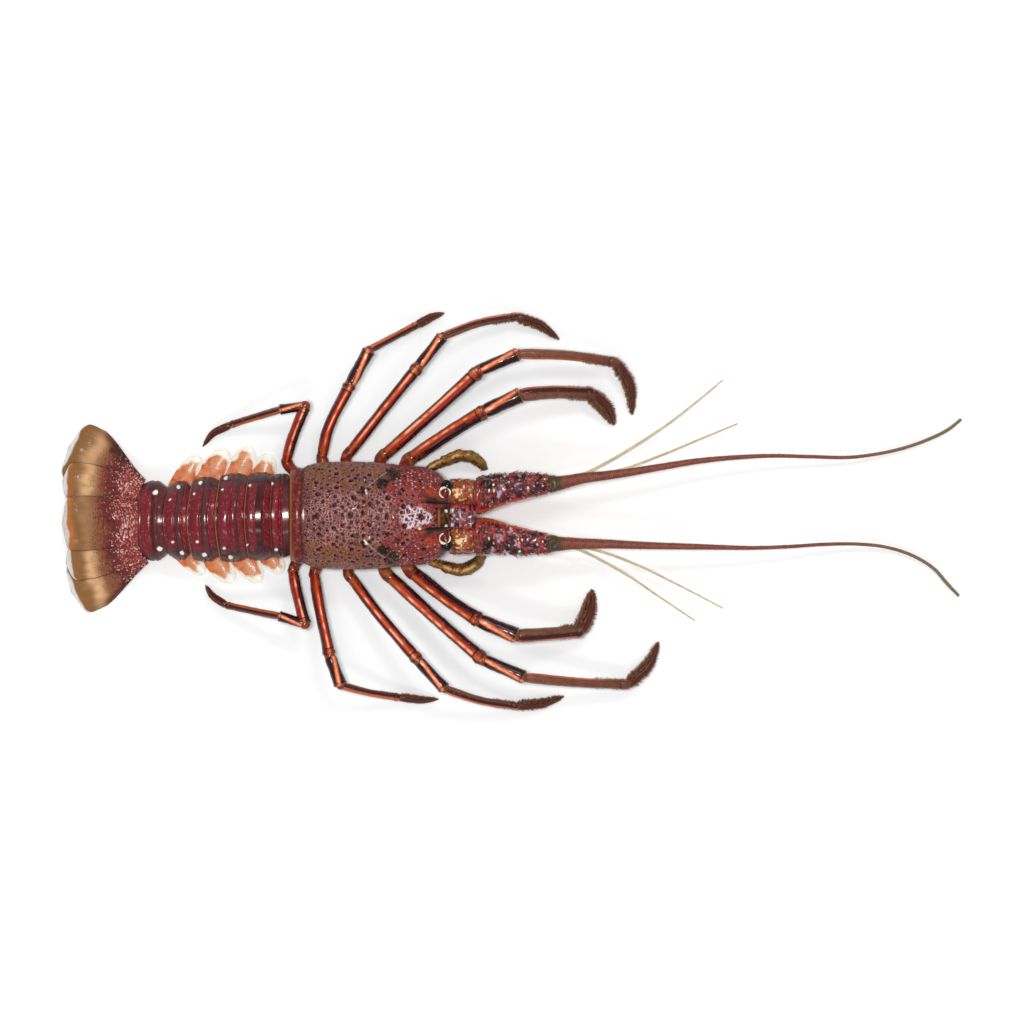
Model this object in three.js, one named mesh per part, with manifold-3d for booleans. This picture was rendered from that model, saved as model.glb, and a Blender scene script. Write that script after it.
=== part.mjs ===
// A raw whole spiny lobster, lying belly down with its legs spread and its antennae laid forward.
// Millimetres. +X points to the head, +Y to the animal's left, +Z up from the surface it lies on.
// Body stations are measured along X from the rear edge of the carapace, and heights from the surface.
import * as THREE from 'three';
import { mergeVertices } from 'three/addons/utils/BufferGeometryUtils.js';
import Module from 'manifold-3d';

const wasm = await Module();
wasm.setup();

// ---------------------------------------------------------------- driving sizes

const GAP = 0.4; // clearance between neighbouring plates of the shell
const BODY_AT = [-143.67, -2.72, 0]; // where the rear edge of the carapace lies in the part's frame
const TAIL_SWAY = { by: -3.4, over: 92 }; // how far the relaxed abdomen drifts to the right, over what length

// Carapace: [station, half width, height of the back]
const CARAPACE_ROWS = [
  [0, 28.8, 44.5],
  [3.5, 30.1, 46.6],
  [7.5, 31.3, 47.4],
  [9.5, 31.6, 46.6],
  [13, 33.0, 49.6],
  [22, 34.3, 52.2],
  [36, 34.7, 53.8],
  [50, 34.6, 54.2],
  [68, 33.1, 53.2],
  [80, 32.0, 51.4],
  [88, 31.0, 49.6],
  [94, 28.2, 48.0],
  [98.5, 24.6, 45.8],
  [102.5, 20.0, 41.5],
];
const CARAPACE_STATIONS = [
  0, 3.5, 7.5, 9.2, 11.5, 17, 24, 32, 40, 45, 49, 53, 58, 63, 69, 75, 82, 88, 93, 97, 100, 102.5,
];
const CARAPACE_WAIST = 27; // height of the widest line
const CARAPACE_EDGE = 12; // height of the free lower edge, above the leg bases
const CARAPACE_DROP = 22; // how far the side would curve in below the waist if nothing cut it
const CARAPACE_SQUARE = 2.25; // superellipse exponent of the section
const NECK_GROOVE = { at: 49, reach: 0.5, run: 26, depth: 1.6, width: 2.4 };

const SPINE_ROWS = 7; // rows of main spines, rear edge to brow
const SPINE_FIRST = 18;
const SPINE_PITCH = 11.2;
const SPINE_ARC = 11.5; // spacing round the back
const SPINE_SIZE = { radius: 1.6, height: 2.9, sides: 5 };
const HORN = { base: [84, 11.6, 47.0], tip: [105.5, 7.6, 54.8], radius: 4.2, rise: 1.6 };
const BROW = { from: 86, front: 102.5, back: 5.5, half: 0.34 }; // the front edge draws back between the horns
const EYE = { at: [101.6, 19.2, 40.6], radius: 3.9 };

// Abdomen, front to back: [rear edge at the midline, half width, height of the back, height of the side tips,
// bow of the rear edge]
const SOMITES = [
  [-13.3, 27.4, 42.0, 14.0, 1.4],
  [-29.9, 28.9, 43.2, 4.2, 2.2],
  [-49.1, 29.0, 42.0, 4.2, 3.0],
  [-67.6, 27.8, 38.4, 4.4, 3.8],
  [-83.4, 26.0, 33.4, 4.8, 4.2],
  [-99.4, 26.4, 27.4, 5.4, 0.8],
];
const EDGE_SPAN = 28; // half width that the edge bow is measured at
const SOMITE_NOTCH = [0.4, 0.7, 0.9, 1.6, 3.2, 3.4]; // how far the flanks draw in between the side lobes
const BELLY_RISE = 4.6; // belly above the side tips
const SOMITE_FLANK = 0.7; // share of the section that is back and flank, the rest is belly
const SOMITE_AROUND = 24; // corners round a somite
const CARAPACE_AROUND = 36; // corners round the carapace

// Tail fan. Each plate: root, tip, half widths at its root and near its end, layer counted from the surface.
const FAN_THICKNESS = 1.3;
const FAN_LAYER = 1.75; // from one plate of the fan up to the next
const FAN_FLOOR = 0.9; // middle of the lowest plate above the surface at its end
const FAN_FULL = 0.68; // share of its length by which a plate has widened fully
const FAN_ROUND = 0.78; // share of its length from which its end is rounded off
const TELSON = {
  root: [-99.9, -4.6, 13.4],
  tip: [-150.4, -5.2],
  widths: [14.5, 18],
  layer: 2,
  rootThickness: 11,
};
const INNER_UROPOD = { layer: 1, rootThickness: 7 };
const OUTER_UROPOD = { layer: 0, rootThickness: 6 };
const UROPODS = {
  left: {
    inner: { ...INNER_UROPOD, root: [-98, 17, 11], tip: [-150.2, 22.6], widths: [6, 13.2] },
    outer: { ...OUTER_UROPOD, root: [-97, 20.5, 8.6], tip: [-146.4, 44.8], widths: [3.4, 20] },
  },
  right: {
    inner: { ...INNER_UROPOD, root: [-97.6, -25, 11], tip: [-148, -31], widths: [6, 12.4] },
    outer: { ...OUTER_UROPOD, root: [-95.4, -27.6, 8.6], tip: [-144.6, -50], widths: [4, 17.8] },
  },
};

// Pleopods: flat flaps that lie on the surface and show beside the abdomen. [root, tip, half width]
const PLEOPODS = {
  left: [
    [[-76.6, 15.0], [-61.2, 39.6], 5.8],
    [[-59.6, 15.0], [-43.2, 43.2], 7.3],
    [[-40.4, 15.0], [-27.6, 44.8], 7.3],
    [[-22.6, 15.0], [-15.2, 40.4], 6.7],
  ],
  right: [
    [[-76, -20.0], [-57.8, -38.2], 5.2],
    [[-58.6, -18.0], [-38.8, -43.8], 6.6],
    [[-40, -17.0], [-20.8, -43.4], 6.8],
    [[-21.6, -16.0], [-7, -38], 6.0],
  ],
};
const PLEOPOD_THICKNESS = 1.3;
const PLEOPOD_LIE = 1.0; // height of its middle where it lies
const PLEOPOD_TURN = { up: 3.8, over: 0.28 }; // how far its root turns up to the belly, over what share of it

// Legs, front (1) to back (5): hip, edge of the shell, middle of the thigh, knee, wrist, middle of the shank,
// ankle, bend of the claw, claw tip.
const LEGS = {
  left: [
    [
      [66, 13, 6], [76, 36, 8.5], [104.9, 55.2, 18], [126.2, 67.8, 27], [149.6, 78.4, 26],
      [171, 80.2, 18.5], [195.5, 79.6, 9.5], [204.6, 71.2, 5], [211, 59.6, 0.7],
    ],
    [
      [55, 15, 6], [58, 37.2, 8.5], [91.4, 66.6, 18], [122.6, 94.3, 27], [148, 105, 26],
      [180.5, 104.2, 18], [212, 99.9, 9.5], [220.3, 86.5, 5], [222.6, 65.7, 0.7],
    ],
    [
      [41, 16.5, 6], [35.4, 38, 8], [60.5, 69.8, 16.5], [83.2, 97.4, 25], [98.8, 116.6, 24],
      [122.2, 125.5, 16], [147, 130, 8], [161.5, 125, 4.4], [174.8, 115.2, 0.6],
    ],
    [
      [26, 17.5, 6], [19.4, 38, 8], [23.6, 56, 13.5], [38.6, 85.6, 24], [50.8, 107.6, 22.5],
      [66, 116, 15], [81.2, 124.4, 7.6], [90.4, 129.6, 4.2], [99.4, 132.6, 0.6],
    ],
    [
      [11, 17, 6], [-3.6, 35.6, 8.5], [-0.4, 47.4, 13.5], [9, 71.2, 23], [-7.4, 68.9, 21],
      [-23.8, 64.2, 14], [-40.2, 59.2, 7], [-51.4, 53.8, 4], [-58.7, 45, 0.6],
    ],
  ],
  right: [
    [
      [66, -13, 6], [77.4, -36, 8.5], [103.1, -55.7, 18], [122.8, -68.4, 27], [147, -78.3, 26],
      [167, -77.2, 18.5], [188.6, -75.4, 9.5], [193.9, -63.4, 5], [196.6, -48.6, 0.7],
    ],
    [
      [55, -15, 6], [60.8, -37, 8.5], [93, -66.4, 18], [125.2, -93.8, 27], [152, -105.3, 26],
      [186, -108.7, 18], [219.8, -110.4, 9.5], [231.8, -99.4, 5], [239.8, -82.8, 0.7],
    ],
    [
      [41, -16.5, 6], [36.8, -38, 8], [56, -63.4, 16.5], [82.8, -94.4, 25], [100, -112.8, 24],
      [122.8, -120.5, 16], [147, -124.6, 8], [163, -123.2, 4.4], [177.8, -118.6, 0.6],
    ],
    [
      [26, -17.5, 6], [14.6, -38, 8], [17.2, -55, 13.5], [25.2, -91.4, 24], [32.2, -110.4, 22.5],
      [50.8, -115.5, 15], [69.8, -118.8, 7.6], [83.6, -120.6, 4.2], [95.8, -120.2, 0.6],
    ],
    [
      [11, -17, 6], [0.6, -36, 8.5], [3, -48.6, 13.5], [8.9, -70.6, 23], [-8, -65.4, 21],
      [-25.6, -62.2, 14], [-43.2, -58.4, 7], [-51.8, -52.8, 4], [-56.9, -45.4, 0.6],
    ],
  ],
};
// Half thickness of thigh, knee collar, wrist piece and shank, front leg to back.
const LEG_GIRTHS = [
  [4.6, 5.9, 5.0, 4.5],
  [4.1, 5.5, 4.2, 3.35],
  [3.7, 5.0, 3.8, 2.8],
  [3.8, 5.0, 4.1, 2.55],
  [3.7, 4.8, 3.2, 2.45],
];
const [THIGH, COLLAR, WRIST, SHANK] = [0, 1, 2, 3];
// Rings down a leg: [which stretch between its points, share of the way along it, girth, share of that girth]
const LEG_RINGS = [
  [0, 0, THIGH, 0.95],
  [0, 1, THIGH, 0.9],
  [1, 1, THIGH, 0.97],
  [2, 0.84, THIGH, 1.04],
  [2, 0.94, COLLAR, 1],
  [2, 1, COLLAR, 0.88],
  [3, 0.2, WRIST, 0.96],
  [3, 0.8, WRIST, 1],
  [3, 0.94, WRIST, 1.12],
  [3, 1, WRIST, 0.96],
  [4, 0.15, SHANK, 1.02],
  [4, 1, SHANK, 0.94],
  [5, 0.85, SHANK, 0.98],
  [5, 1, SHANK, 1.02],
  [6, 0.5, SHANK, 0.92],
  [6, 1, SHANK, 0.8],
  [7, 0.6, SHANK, 0.5],
  [7, 1, SHANK, 0.12],
];

// Antennae.
const HEAD_AXIS = { y: -0.5, turnsTo: 1.1, from: 120, to: 134 }; // the antennae point a touch to the left
const ANTENNA_BASE_HEIGHT = 27;
const ANTENNA_SPINE = { radius: 1.4, height: 2.6, sides: 5, from: 125, to: 168, pitch: 13 };
// Stout base joints: [station, middle from the head's axis, half width, half height]
const ANTENNA_BASE = [
  [103.2, 15.6, 8.4, 9.5],
  [106, 15.4, 9.2, 11.0],
  [113, 15.3, 8.9, 11.4],
  [118.6, 15.2, 9.0, 10.6],
  [120.4, 13.6, 11.6, 10.2],
  [124, 13.3, 12.1, 10.6],
  [131, 14.6, 11.4, 9.8],
  [139, 16.0, 10.3, 8.9],
  [142, 16.5, 9.7, 8.2],
  [150, 17.6, 8.9, 8.0],
  [158, 18.5, 7.7, 7.3],
  [166, 19.1, 6.7, 6.6],
  [169, 19.2, 5.9, 5.6],
  [172.4, 19.3, 5.3, 5.2],
];
// Whips: [station, y, z, half thickness]
const ANTENNA_WHIPS = {
  left: [
    [172.9, 20.8, 27, 5.0], [180, 22.2, 26.8, 4.2], [188, 24, 26.4, 3.7], [204, 25.9, 25.6, 3.1],
    [220, 28.1, 24.6, 2.7], [236, 30.8, 23.4, 2.4], [263, 35.2, 20.6, 2.0], [285, 37.5, 17.8, 1.6],
    [312, 38.9, 14, 1.3], [338, 38.4, 10.2, 1.2], [364, 38, 6.6, 1.15], [382, 40.2, 4.4, 1.1],
    [399, 43.9, 2.8, 1.1], [415, 49.4, 1.8, 1.1], [428.6, 56, 1.4, 1.1], [437.4, 62.9, 1.3, 0.9],
  ],
  right: [
    [172.9, -18.4, 27, 5.0], [180, -18.2, 26.8, 4.2], [188, -18.3, 26.4, 3.7], [204, -18.5, 25.6, 3.1],
    [220, -19.1, 24.6, 2.7], [236, -19.7, 23.4, 2.4], [263, -20.3, 20.6, 2.0], [282, -20.8, 18.2, 1.6],
    [301, -21.1, 15.6, 1.3], [324, -20.3, 12.4, 1.2], [348, -18.8, 8.8, 1.15], [370, -18.7, 5.8, 1.1],
    [388, -20.7, 3.8, 1.1], [405, -26, 2.4, 1.1], [419.5, -34.8, 1.6, 1.1], [428.6, -45, 1.4, 1.1],
    [435.9, -52.6, 1.3, 0.9],
  ],
};
const ANTENNULES = {
  left: {
    stem: [[119.6, 2.6, 17.5], [128, 6, 14.4], [150, 15, 12.6], [184, 24.8, 11.4]],
    whips: [
      [[182, 24.2, 11.4], [195.3, 29.4, 11.6], [241.6, 57.2, 9], [262.6, 73.1, 5.6], [281.4, 88.6, 1.2]],
      [[182, 24.2, 11.4], [214.5, 29.9, 10.8], [241.6, 39.6, 9], [265.9, 49.7, 5.8], [291.2, 60.1, 1.2]],
    ],
  },
  right: {
    stem: [[119.6, -3.6, 17.5], [128, -7, 14.4], [150, -13, 12.6], [180, -19.6, 11.4]],
    whips: [
      [[178, -19.2, 11.4], [189.8, -23.4, 11.6], [218.9, -39.1, 10], [239.8, -53.2, 6.4], [263, -68.6, 1.2]],
      [[178, -19.2, 11.4], [198.2, -22.6, 11], [224.9, -32.2, 9.6], [247, -42.8, 6.4], [281.6, -60.6, 1.2]],
    ],
  },
};
const ANTENNULE_STEM = 1.7;
const ANTENNULE_WHIP = 0.65;

// Third maxillipeds: the small bent feelers beside the head. [x, y, z, half thickness]
const MAXILLIPEDS = {
  left: [
    [84, 22, 8, 2.0], [89.5, 30.4, 8.6, 2.2], [96, 34.2, 9.2, 2.7], [103.2, 37.2, 9.6, 3.2],
    [110.5, 39.4, 9.2, 3.4], [117.2, 38.2, 7.8, 3.2], [123, 34.6, 5.6, 2.8], [126.2, 30.4, 3.4, 1.6],
  ],
  right: [
    [84, -22, 8, 2.0], [92.3, -30.6, 8.6, 2.4], [101.4, -33.8, 9.4, 3.1], [110.4, -35.8, 9.2, 3.6],
    [116.6, -33.8, 7.8, 3.6], [122, -29.8, 5.8, 3.0], [125, -26.4, 3.6, 1.8],
  ],
};

// Breast plate that the body rests on: [station, half width]
const STERNUM = { rear: 4, front: 84, rearWidth: 15.5, frontWidth: 6.5, height: 11.4, chamfer: 2 };
const ANTENNULAR_PLATE = { rear: 103.2, front: 119, halfWidth: 5.4, top: 36, bottom: 15 };

// ---------------------------------------------------------------- finishes

const finish = (color, roughness) => new THREE.MeshStandardMaterial({ color, roughness, metalness: 0 });
const MATERIALS = {
  carapace: finish(0x7d4843, 0.5),
  abdomen: finish(0x6b2328, 0.28),
  fan: finish(0x8f6a44, 0.42),
  pleopod: finish(0xe58d4c, 0.45),
  leg: finish(0x8c2f25, 0.3),
  antenna: finish(0x9a5142, 0.5),
  antennule: finish(0xd9b98c, 0.5),
  maxilliped: finish(0xa87335, 0.5),
  belly: finish(0xc9a58a, 0.45),
  eye: finish(0x0d0b0c, 0.08),
};

// ---------------------------------------------------------------- helpers

const clamp01 = (t) => Math.min(1, Math.max(0, t));
const smooth = (t) => clamp01(t) ** 2 * (3 - 2 * clamp01(t));
const mix = (a, b, t) => a + (b - a) * t;
const power = (v, n) => Math.sign(v) * Math.abs(v) ** n;
// A repeatable draw between 0 and 1 for the n-th thing of its kind.
const scatter = (n) => {
  const v = Math.sin(n * 12.9898) * 43758.5453;
  return v - Math.floor(v);
};

// Reads one column of a table of rows sorted by their first value, on a smooth curve through them.
function along(rows, x, column) {
  const last = rows.length - 1;
  let i = rows.findIndex((row, k) => k < last && x <= rows[k + 1][0]);
  if (i < 0) i = last - 1;
  const [a, b] = [rows[i], rows[i + 1]];
  const slope = (p, q) => (q[column] - p[column]) / (q[0] - p[0]);
  const here = slope(a, b);
  const before = i > 0 ? (slope(rows[i - 1], a) + here) / 2 : here;
  const after = i + 2 <= last ? (slope(b, rows[i + 2]) + here) / 2 : here;
  const span = b[0] - a[0];
  const t = (x - a[0]) / span;
  return (
    a[column] * (1 + 2 * t) * (1 - t) ** 2 +
    b[column] * t * t * (3 - 2 * t) +
    before * span * t * (1 - t) ** 2 +
    after * span * t * t * (t - 1)
  );
}

// A closed skin: a capped cylinder whose every point is put in place by shape(step, angle, rim).
// step counts the rings from 0, angle runs from the top towards -Y, and rim is 0 at the middle of a cap.
function skin(around, rings, shape) {
  const cylinder = new THREE.CylinderGeometry(1, 1, 1, around, rings - 1);
  cylinder.deleteAttribute('normal');
  cylinder.deleteAttribute('uv');
  const geometry = mergeVertices(cylinder, 1e-4);
  const spot = geometry.getAttribute('position');
  for (let i = 0; i < spot.count; i++) {
    const step = Math.round((0.5 - spot.getY(i)) * (rings - 1));
    const rim = Math.hypot(spot.getX(i), spot.getZ(i));
    const [x, y, z] = shape(step, Math.atan2(spot.getX(i), spot.getZ(i)), rim > 0.5 ? 1 : 0);
    spot.setXYZ(i, x, y, z);
  }
  return geometry;
}

// Six times the signed volume inside a closed skin: negative when its faces point inwards.
function signedVolume(spots, corners) {
  let sum = 0;
  const [a, b, c] = [new THREE.Vector3(), new THREE.Vector3(), new THREE.Vector3()];
  for (let i = 0; i < corners.length; i += 3) {
    a.fromArray(spots, corners[i] * 3);
    b.fromArray(spots, corners[i + 1] * 3);
    c.fromArray(spots, corners[i + 2] * 3);
    sum += a.dot(b.cross(c));
  }
  return sum;
}

function toSolid(geometry) {
  const spots = geometry.getAttribute('position').array;
  const corners = new Uint32Array(geometry.index.array);
  if (signedVolume(spots, corners) < 0) corners.reverse();
  return new wasm.Manifold(new wasm.Mesh({ numProp: 3, vertProperties: spots, triVerts: corners }));
}

function toGeometry(solid) {
  const { numProp, vertProperties, triVerts } = solid.getMesh();
  const geometry = new THREE.BufferGeometry();
  const spots = new Float32Array((vertProperties.length / numProp) * 3);
  for (let i = 0; i * numProp < vertProperties.length; i++) {
    spots.set(vertProperties.subarray(i * numProp, i * numProp + 3), i * 3);
  }
  geometry.setAttribute('position', new THREE.BufferAttribute(spots, 3));
  geometry.setIndex(new THREE.BufferAttribute(triVerts, 1));
  return geometry;
}

// A limb of round section through a list of stations { at: Vector3, r }, turned to follow its own line.
function limb(stations, around, flatten = 1) {
  const up = new THREE.Vector3(0, 0, 1);
  const last = stations.length - 1;
  const frames = stations.map(({ at }, i) => {
    const ahead = stations[Math.min(i + 1, last)].at;
    const behind = stations[Math.max(i - 1, 0)].at;
    const into = at.clone().sub(behind).normalize();
    const out = ahead.clone().sub(at).normalize();
    const heading = into.add(out).normalize();
    const side = up.clone().cross(heading).normalize();
    return { side, top: heading.clone().cross(side) };
  });
  return skin(around, stations.length, (step, angle, rim) => {
    const { at, r } = stations[step];
    const { side, top } = frames[step];
    return at
      .clone()
      .addScaledVector(side, -Math.sin(angle) * r * rim)
      .addScaledVector(top, Math.cos(angle) * r * flatten * rim)
      .toArray();
  });
}

const station = (point, r) => ({ at: new THREE.Vector3(...point), r });

// A cone that stands on a surface, sunk a little into it.
function spike(foot, direction, radius, height, sides) {
  const sink = radius * 0.6;
  const cone = new THREE.ConeGeometry(radius, height + sink, sides);
  cone.deleteAttribute('normal');
  cone.deleteAttribute('uv');
  cone.translate(0, (height - sink) / 2, 0);
  const up = new THREE.Vector3(0, 1, 0);
  cone.applyQuaternion(new THREE.Quaternion().setFromUnitVectors(up, direction.clone().normalize()));
  cone.translate(...foot.toArray());
  return toSolid(mergeVertices(cone, 1e-4));
}

// ---------------------------------------------------------------- carapace

// How deep the neck groove is at a station and an angle from the top of the back.
function grooveDepth(x, angle) {
  const swing = Math.max(0, Math.abs(angle) - NECK_GROOVE.reach);
  const middle = NECK_GROOVE.at + NECK_GROOVE.run * swing;
  const off = (x - middle) / NECK_GROOVE.width;
  return NECK_GROOVE.depth * Math.exp(-off * off) * (1 - smooth((Math.abs(angle) - 1.1) / 0.3));
}

// A point of the carapace's outside at a station and an angle from the top, grown outwards by some clearance.
function carapacePoint(x, angle, grow = 0) {
  const halfWidth = along(CARAPACE_ROWS, x, 1) + grow - grooveDepth(x, angle) * 0.5;
  const back = along(CARAPACE_ROWS, x, 2) + grow - grooveDepth(x, angle);
  const y = halfWidth * power(-Math.sin(angle), 2 / CARAPACE_SQUARE);
  const lift = power(Math.cos(angle), 2 / CARAPACE_SQUARE);
  const z = CARAPACE_WAIST + lift * (lift > 0 ? back - CARAPACE_WAIST : CARAPACE_DROP);
  const nearFront = smooth((x - BROW.from) / (BROW.front - BROW.from));
  const brow = BROW.back * nearFront * Math.exp(-((angle / BROW.half) ** 2));
  return [x - brow, y, Math.max(z, CARAPACE_EDGE - grow)];
}

function carapaceShell(grow = 0) {
  const last = CARAPACE_STATIONS.length - 1;
  return toSolid(
    skin(CARAPACE_AROUND, last + 1, (step, angle, rim) => {
      const x = CARAPACE_STATIONS[step];
      const shift = step === 0 ? -grow : step === last ? grow : 0;
      if (!rim) return [x + shift, 0, CARAPACE_WAIST];
      const [edge, y, z] = carapacePoint(x, angle, grow);
      return [edge + shift, y, z];
    }),
  );
}

// Main spines: staggered rows round the back, each leaning forward off the shell.
function carapaceSpines() {
  const spines = [];
  for (let row = 0; row < SPINE_ROWS; row++) {
    const x = SPINE_FIRST + row * SPINE_PITCH;
    const radius = along(CARAPACE_ROWS, x, 1);
    const step = SPINE_ARC / radius;
    for (let k = -3; k <= 3; k++) {
      const n = row * 7 + k + 3;
      const angle = (k + (row % 2 ? 0.5 : 0)) * step + (scatter(n) - 0.5) * 0.08;
      if (Math.abs(angle) > 1.15) continue;
      const spotX = x + (scatter(n + 200) - 0.5) * 2.4;
      const foot = new THREE.Vector3(...carapacePoint(spotX, angle));
      const size = mix(0.7, 1.15, scatter(n + 400)) * mix(0.9, 1.3, row / SPINE_ROWS);
      const normal = new THREE.Vector3(0.75, -Math.sin(angle), Math.cos(angle));
      spines.push(spike(foot, normal, SPINE_SIZE.radius * size, SPINE_SIZE.height * size, SPINE_SIZE.sides));
    }
  }
  return spines;
}

function horn(side) {
  const foot = new THREE.Vector3(HORN.base[0], HORN.base[1] * side, HORN.base[2]);
  const tip = new THREE.Vector3(HORN.tip[0], HORN.tip[1] * side, HORN.tip[2]);
  const steps = 5;
  const stations = [];
  for (let i = 0; i <= steps; i++) {
    const t = i / steps;
    const at = foot.clone().lerp(tip, t);
    at.z += HORN.rise * (t * t - t) * 2;
    stations.push({ at, r: HORN.radius * (1 - t) ** 0.8 + 0.15 });
  }
  return toSolid(limb(stations, 7, 0.9));
}

function eyeball(side, grow = 0) {
  const ball = new THREE.SphereGeometry(EYE.radius + grow, 10, 6);
  ball.deleteAttribute('normal');
  ball.deleteAttribute('uv');
  ball.translate(EYE.at[0], EYE.at[1] * side, EYE.at[2]);
  return toSolid(mergeVertices(ball, 1e-4));
}

function carapace() {
  let shell = carapaceShell().add(horn(1)).add(horn(-1));
  for (const spine of carapaceSpines()) shell = shell.add(spine);
  for (const side of [1, -1]) shell = shell.subtract(eyeball(side, GAP));
  return shell;
}

// ---------------------------------------------------------------- abdomen and tail fan

const swayAt = (x) => TAIL_SWAY.by * smooth(-x / TAIL_SWAY.over);

// One somite: [share of the way back, share of the half width, share of the height] rings from a tucked-in
// front, over the tergite and its cross groove, to the lip that overhangs the next somite.
const SOMITE_RINGS = [
  [0, 0.955, 0.93],
  [0.16, 0.975, 0.96],
  [0.24, 0.99, 0.985],
  [0.42, 1.0, 1.0],
  [0.5, 0.99, 0.98],
  [0.6, 1.0, 1.0],
  [1, 0.99, 1.0],
];

function somite(index, grow = 0) {
  const [rear, halfWidth, back, tip, bow] = SOMITES[index];
  const [front, , backBefore, , bowBefore] = index ? SOMITES[index - 1] : [0, 0, 43.4, 0, 0];
  const notch = SOMITE_NOTCH[index];
  const start = front - GAP;
  const backAfter = SOMITES[index + 1]?.[2] ?? 20;
  return toSolid(
    skin(SOMITE_AROUND, SOMITE_RINGS.length, (step, angle, rim) => {
      const [t, wide, tall] = SOMITE_RINGS[step];
      const x = mix(start, rear, t) + (step ? 0 : grow) - (t === 1 ? grow : 0);
      const sway = swayAt(x);
      const belly = tip + BELLY_RISE;
      if (!rim) return [x, sway, mix(belly, back, 0.5)];
      const lobe = Math.sin(Math.PI * clamp01((t - 0.05) / 0.95)) - 1;
      const w = halfWidth * wide + notch * lobe + grow;
      const [from, to] = t < 0.5 ? [(back + backBefore) / 2, back] : [back, (back + backAfter) / 2];
      const crest = mix(from, to, t < 0.5 ? t * 2 : t * 2 - 1) * tall + grow;
      const turn = Math.abs(angle) / Math.PI;
      const side = -Math.sign(angle || 1);
      let y;
      let z;
      if (turn <= SOMITE_FLANK) {
        const sweep = (turn / SOMITE_FLANK) * (Math.PI / 2);
        y = side * w * Math.sin(sweep) ** 0.92;
        z = mix(tip - grow, crest, Math.cos(sweep) ** 0.8);
      } else {
        const inward = (turn - SOMITE_FLANK) / (1 - SOMITE_FLANK);
        y = side * w * (1 - inward) * 0.97;
        z = mix(tip - grow, belly - grow, smooth(inward * 2));
      }
      const bend = mix(bowBefore, bow, t) * Math.abs(y / EDGE_SPAN) ** 1.35;
      return [x + bend, sway + y, z];
    }),
  );
}

// A thin plate that widens from its root to a rounded end, and comes down from its root to its own layer.
function leafPlate({ root, tip, widths, layer, rootThickness }, grow = 0) {
  const rings = 10;
  const [rootX, rootY, rootZ] = root;
  const heading = new THREE.Vector2(tip[0] - rootX, tip[1] - rootY);
  const length = heading.length();
  heading.normalize();
  const across = new THREE.Vector2(-heading.y, heading.x);
  const endZ = FAN_FLOOR + layer * FAN_LAYER;
  return toSolid(
    skin(12, rings, (step, angle, rim) => {
      const t = 1 - (1 - step / (rings - 1)) ** 1.7;
      const u = clamp01(t / FAN_FULL);
      const widen = mix(widths[0], widths[1], 0.6 * u + 0.4 * smooth(u));
      const end = clamp01((t - FAN_ROUND) / (1 - FAN_ROUND));
      const w = widen * Math.max((1 - end ** 4.5) ** 0.62, 0.25) + grow;
      const thick = mix(rootThickness, FAN_THICKNESS, smooth(t / 0.45) ** 0.6) / 2 + grow;
      const middle = mix(rootZ, endZ, smooth(t / 0.8) ** 0.8);
      const run = t * length + (step === 0 ? -grow : 0) + (step === rings - 1 ? grow : 0);
      const out = power(-Math.sin(angle), 0.7) * w * rim;
      const bulge = step === rings - 1 ? 0.5 : 1;
      return [
        rootX + heading.x * run + across.x * out,
        rootY + heading.y * run + across.y * out,
        Math.max(middle + power(Math.cos(angle), 0.6) * thick * bulge * rim, 0),
      ];
    }),
  );
}

// ---------------------------------------------------------------- limbs

// A flat flap that lies on the surface and turns up to the belly at its root.
function pleopod([root, tip, halfWidth]) {
  const rings = 8;
  const heading = new THREE.Vector2(tip[0] - root[0], tip[1] - root[1]);
  const length = heading.length();
  heading.normalize();
  return toSolid(
    skin(8, rings, (step, angle, rim) => {
      const t = step / (rings - 1);
      const w = halfWidth * Math.max(0.25, (1 - Math.abs(1 - 2 * (0.14 + 0.84 * t)) ** 2.6) ** 0.55);
      const lift = PLEOPOD_LIE + (1 - smooth(t / PLEOPOD_TURN.over)) * PLEOPOD_TURN.up;
      const out = -Math.sin(angle) * w * rim;
      return [
        root[0] + heading.x * t * length - heading.y * out,
        root[1] + heading.y * t * length + heading.x * out,
        lift + power(Math.cos(angle), 0.7) * (PLEOPOD_THICKNESS / 2) * rim,
      ];
    }),
  );
}

function leg(points, girths) {
  const marks = points.map((point) => new THREE.Vector3(...point));
  const stations = LEG_RINGS.map(([stretch, t, kind, share]) => ({
    at: marks[stretch].clone().lerp(marks[stretch + 1], t),
    r: girths[kind] * share,
  }));
  return toSolid(limb(stations, 8, 1.06));
}

function headAxis(x) {
  const turned = smooth((x - HEAD_AXIS.from) / (HEAD_AXIS.to - HEAD_AXIS.from));
  return mix(HEAD_AXIS.y, HEAD_AXIS.turnsTo, turned);
}

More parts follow.
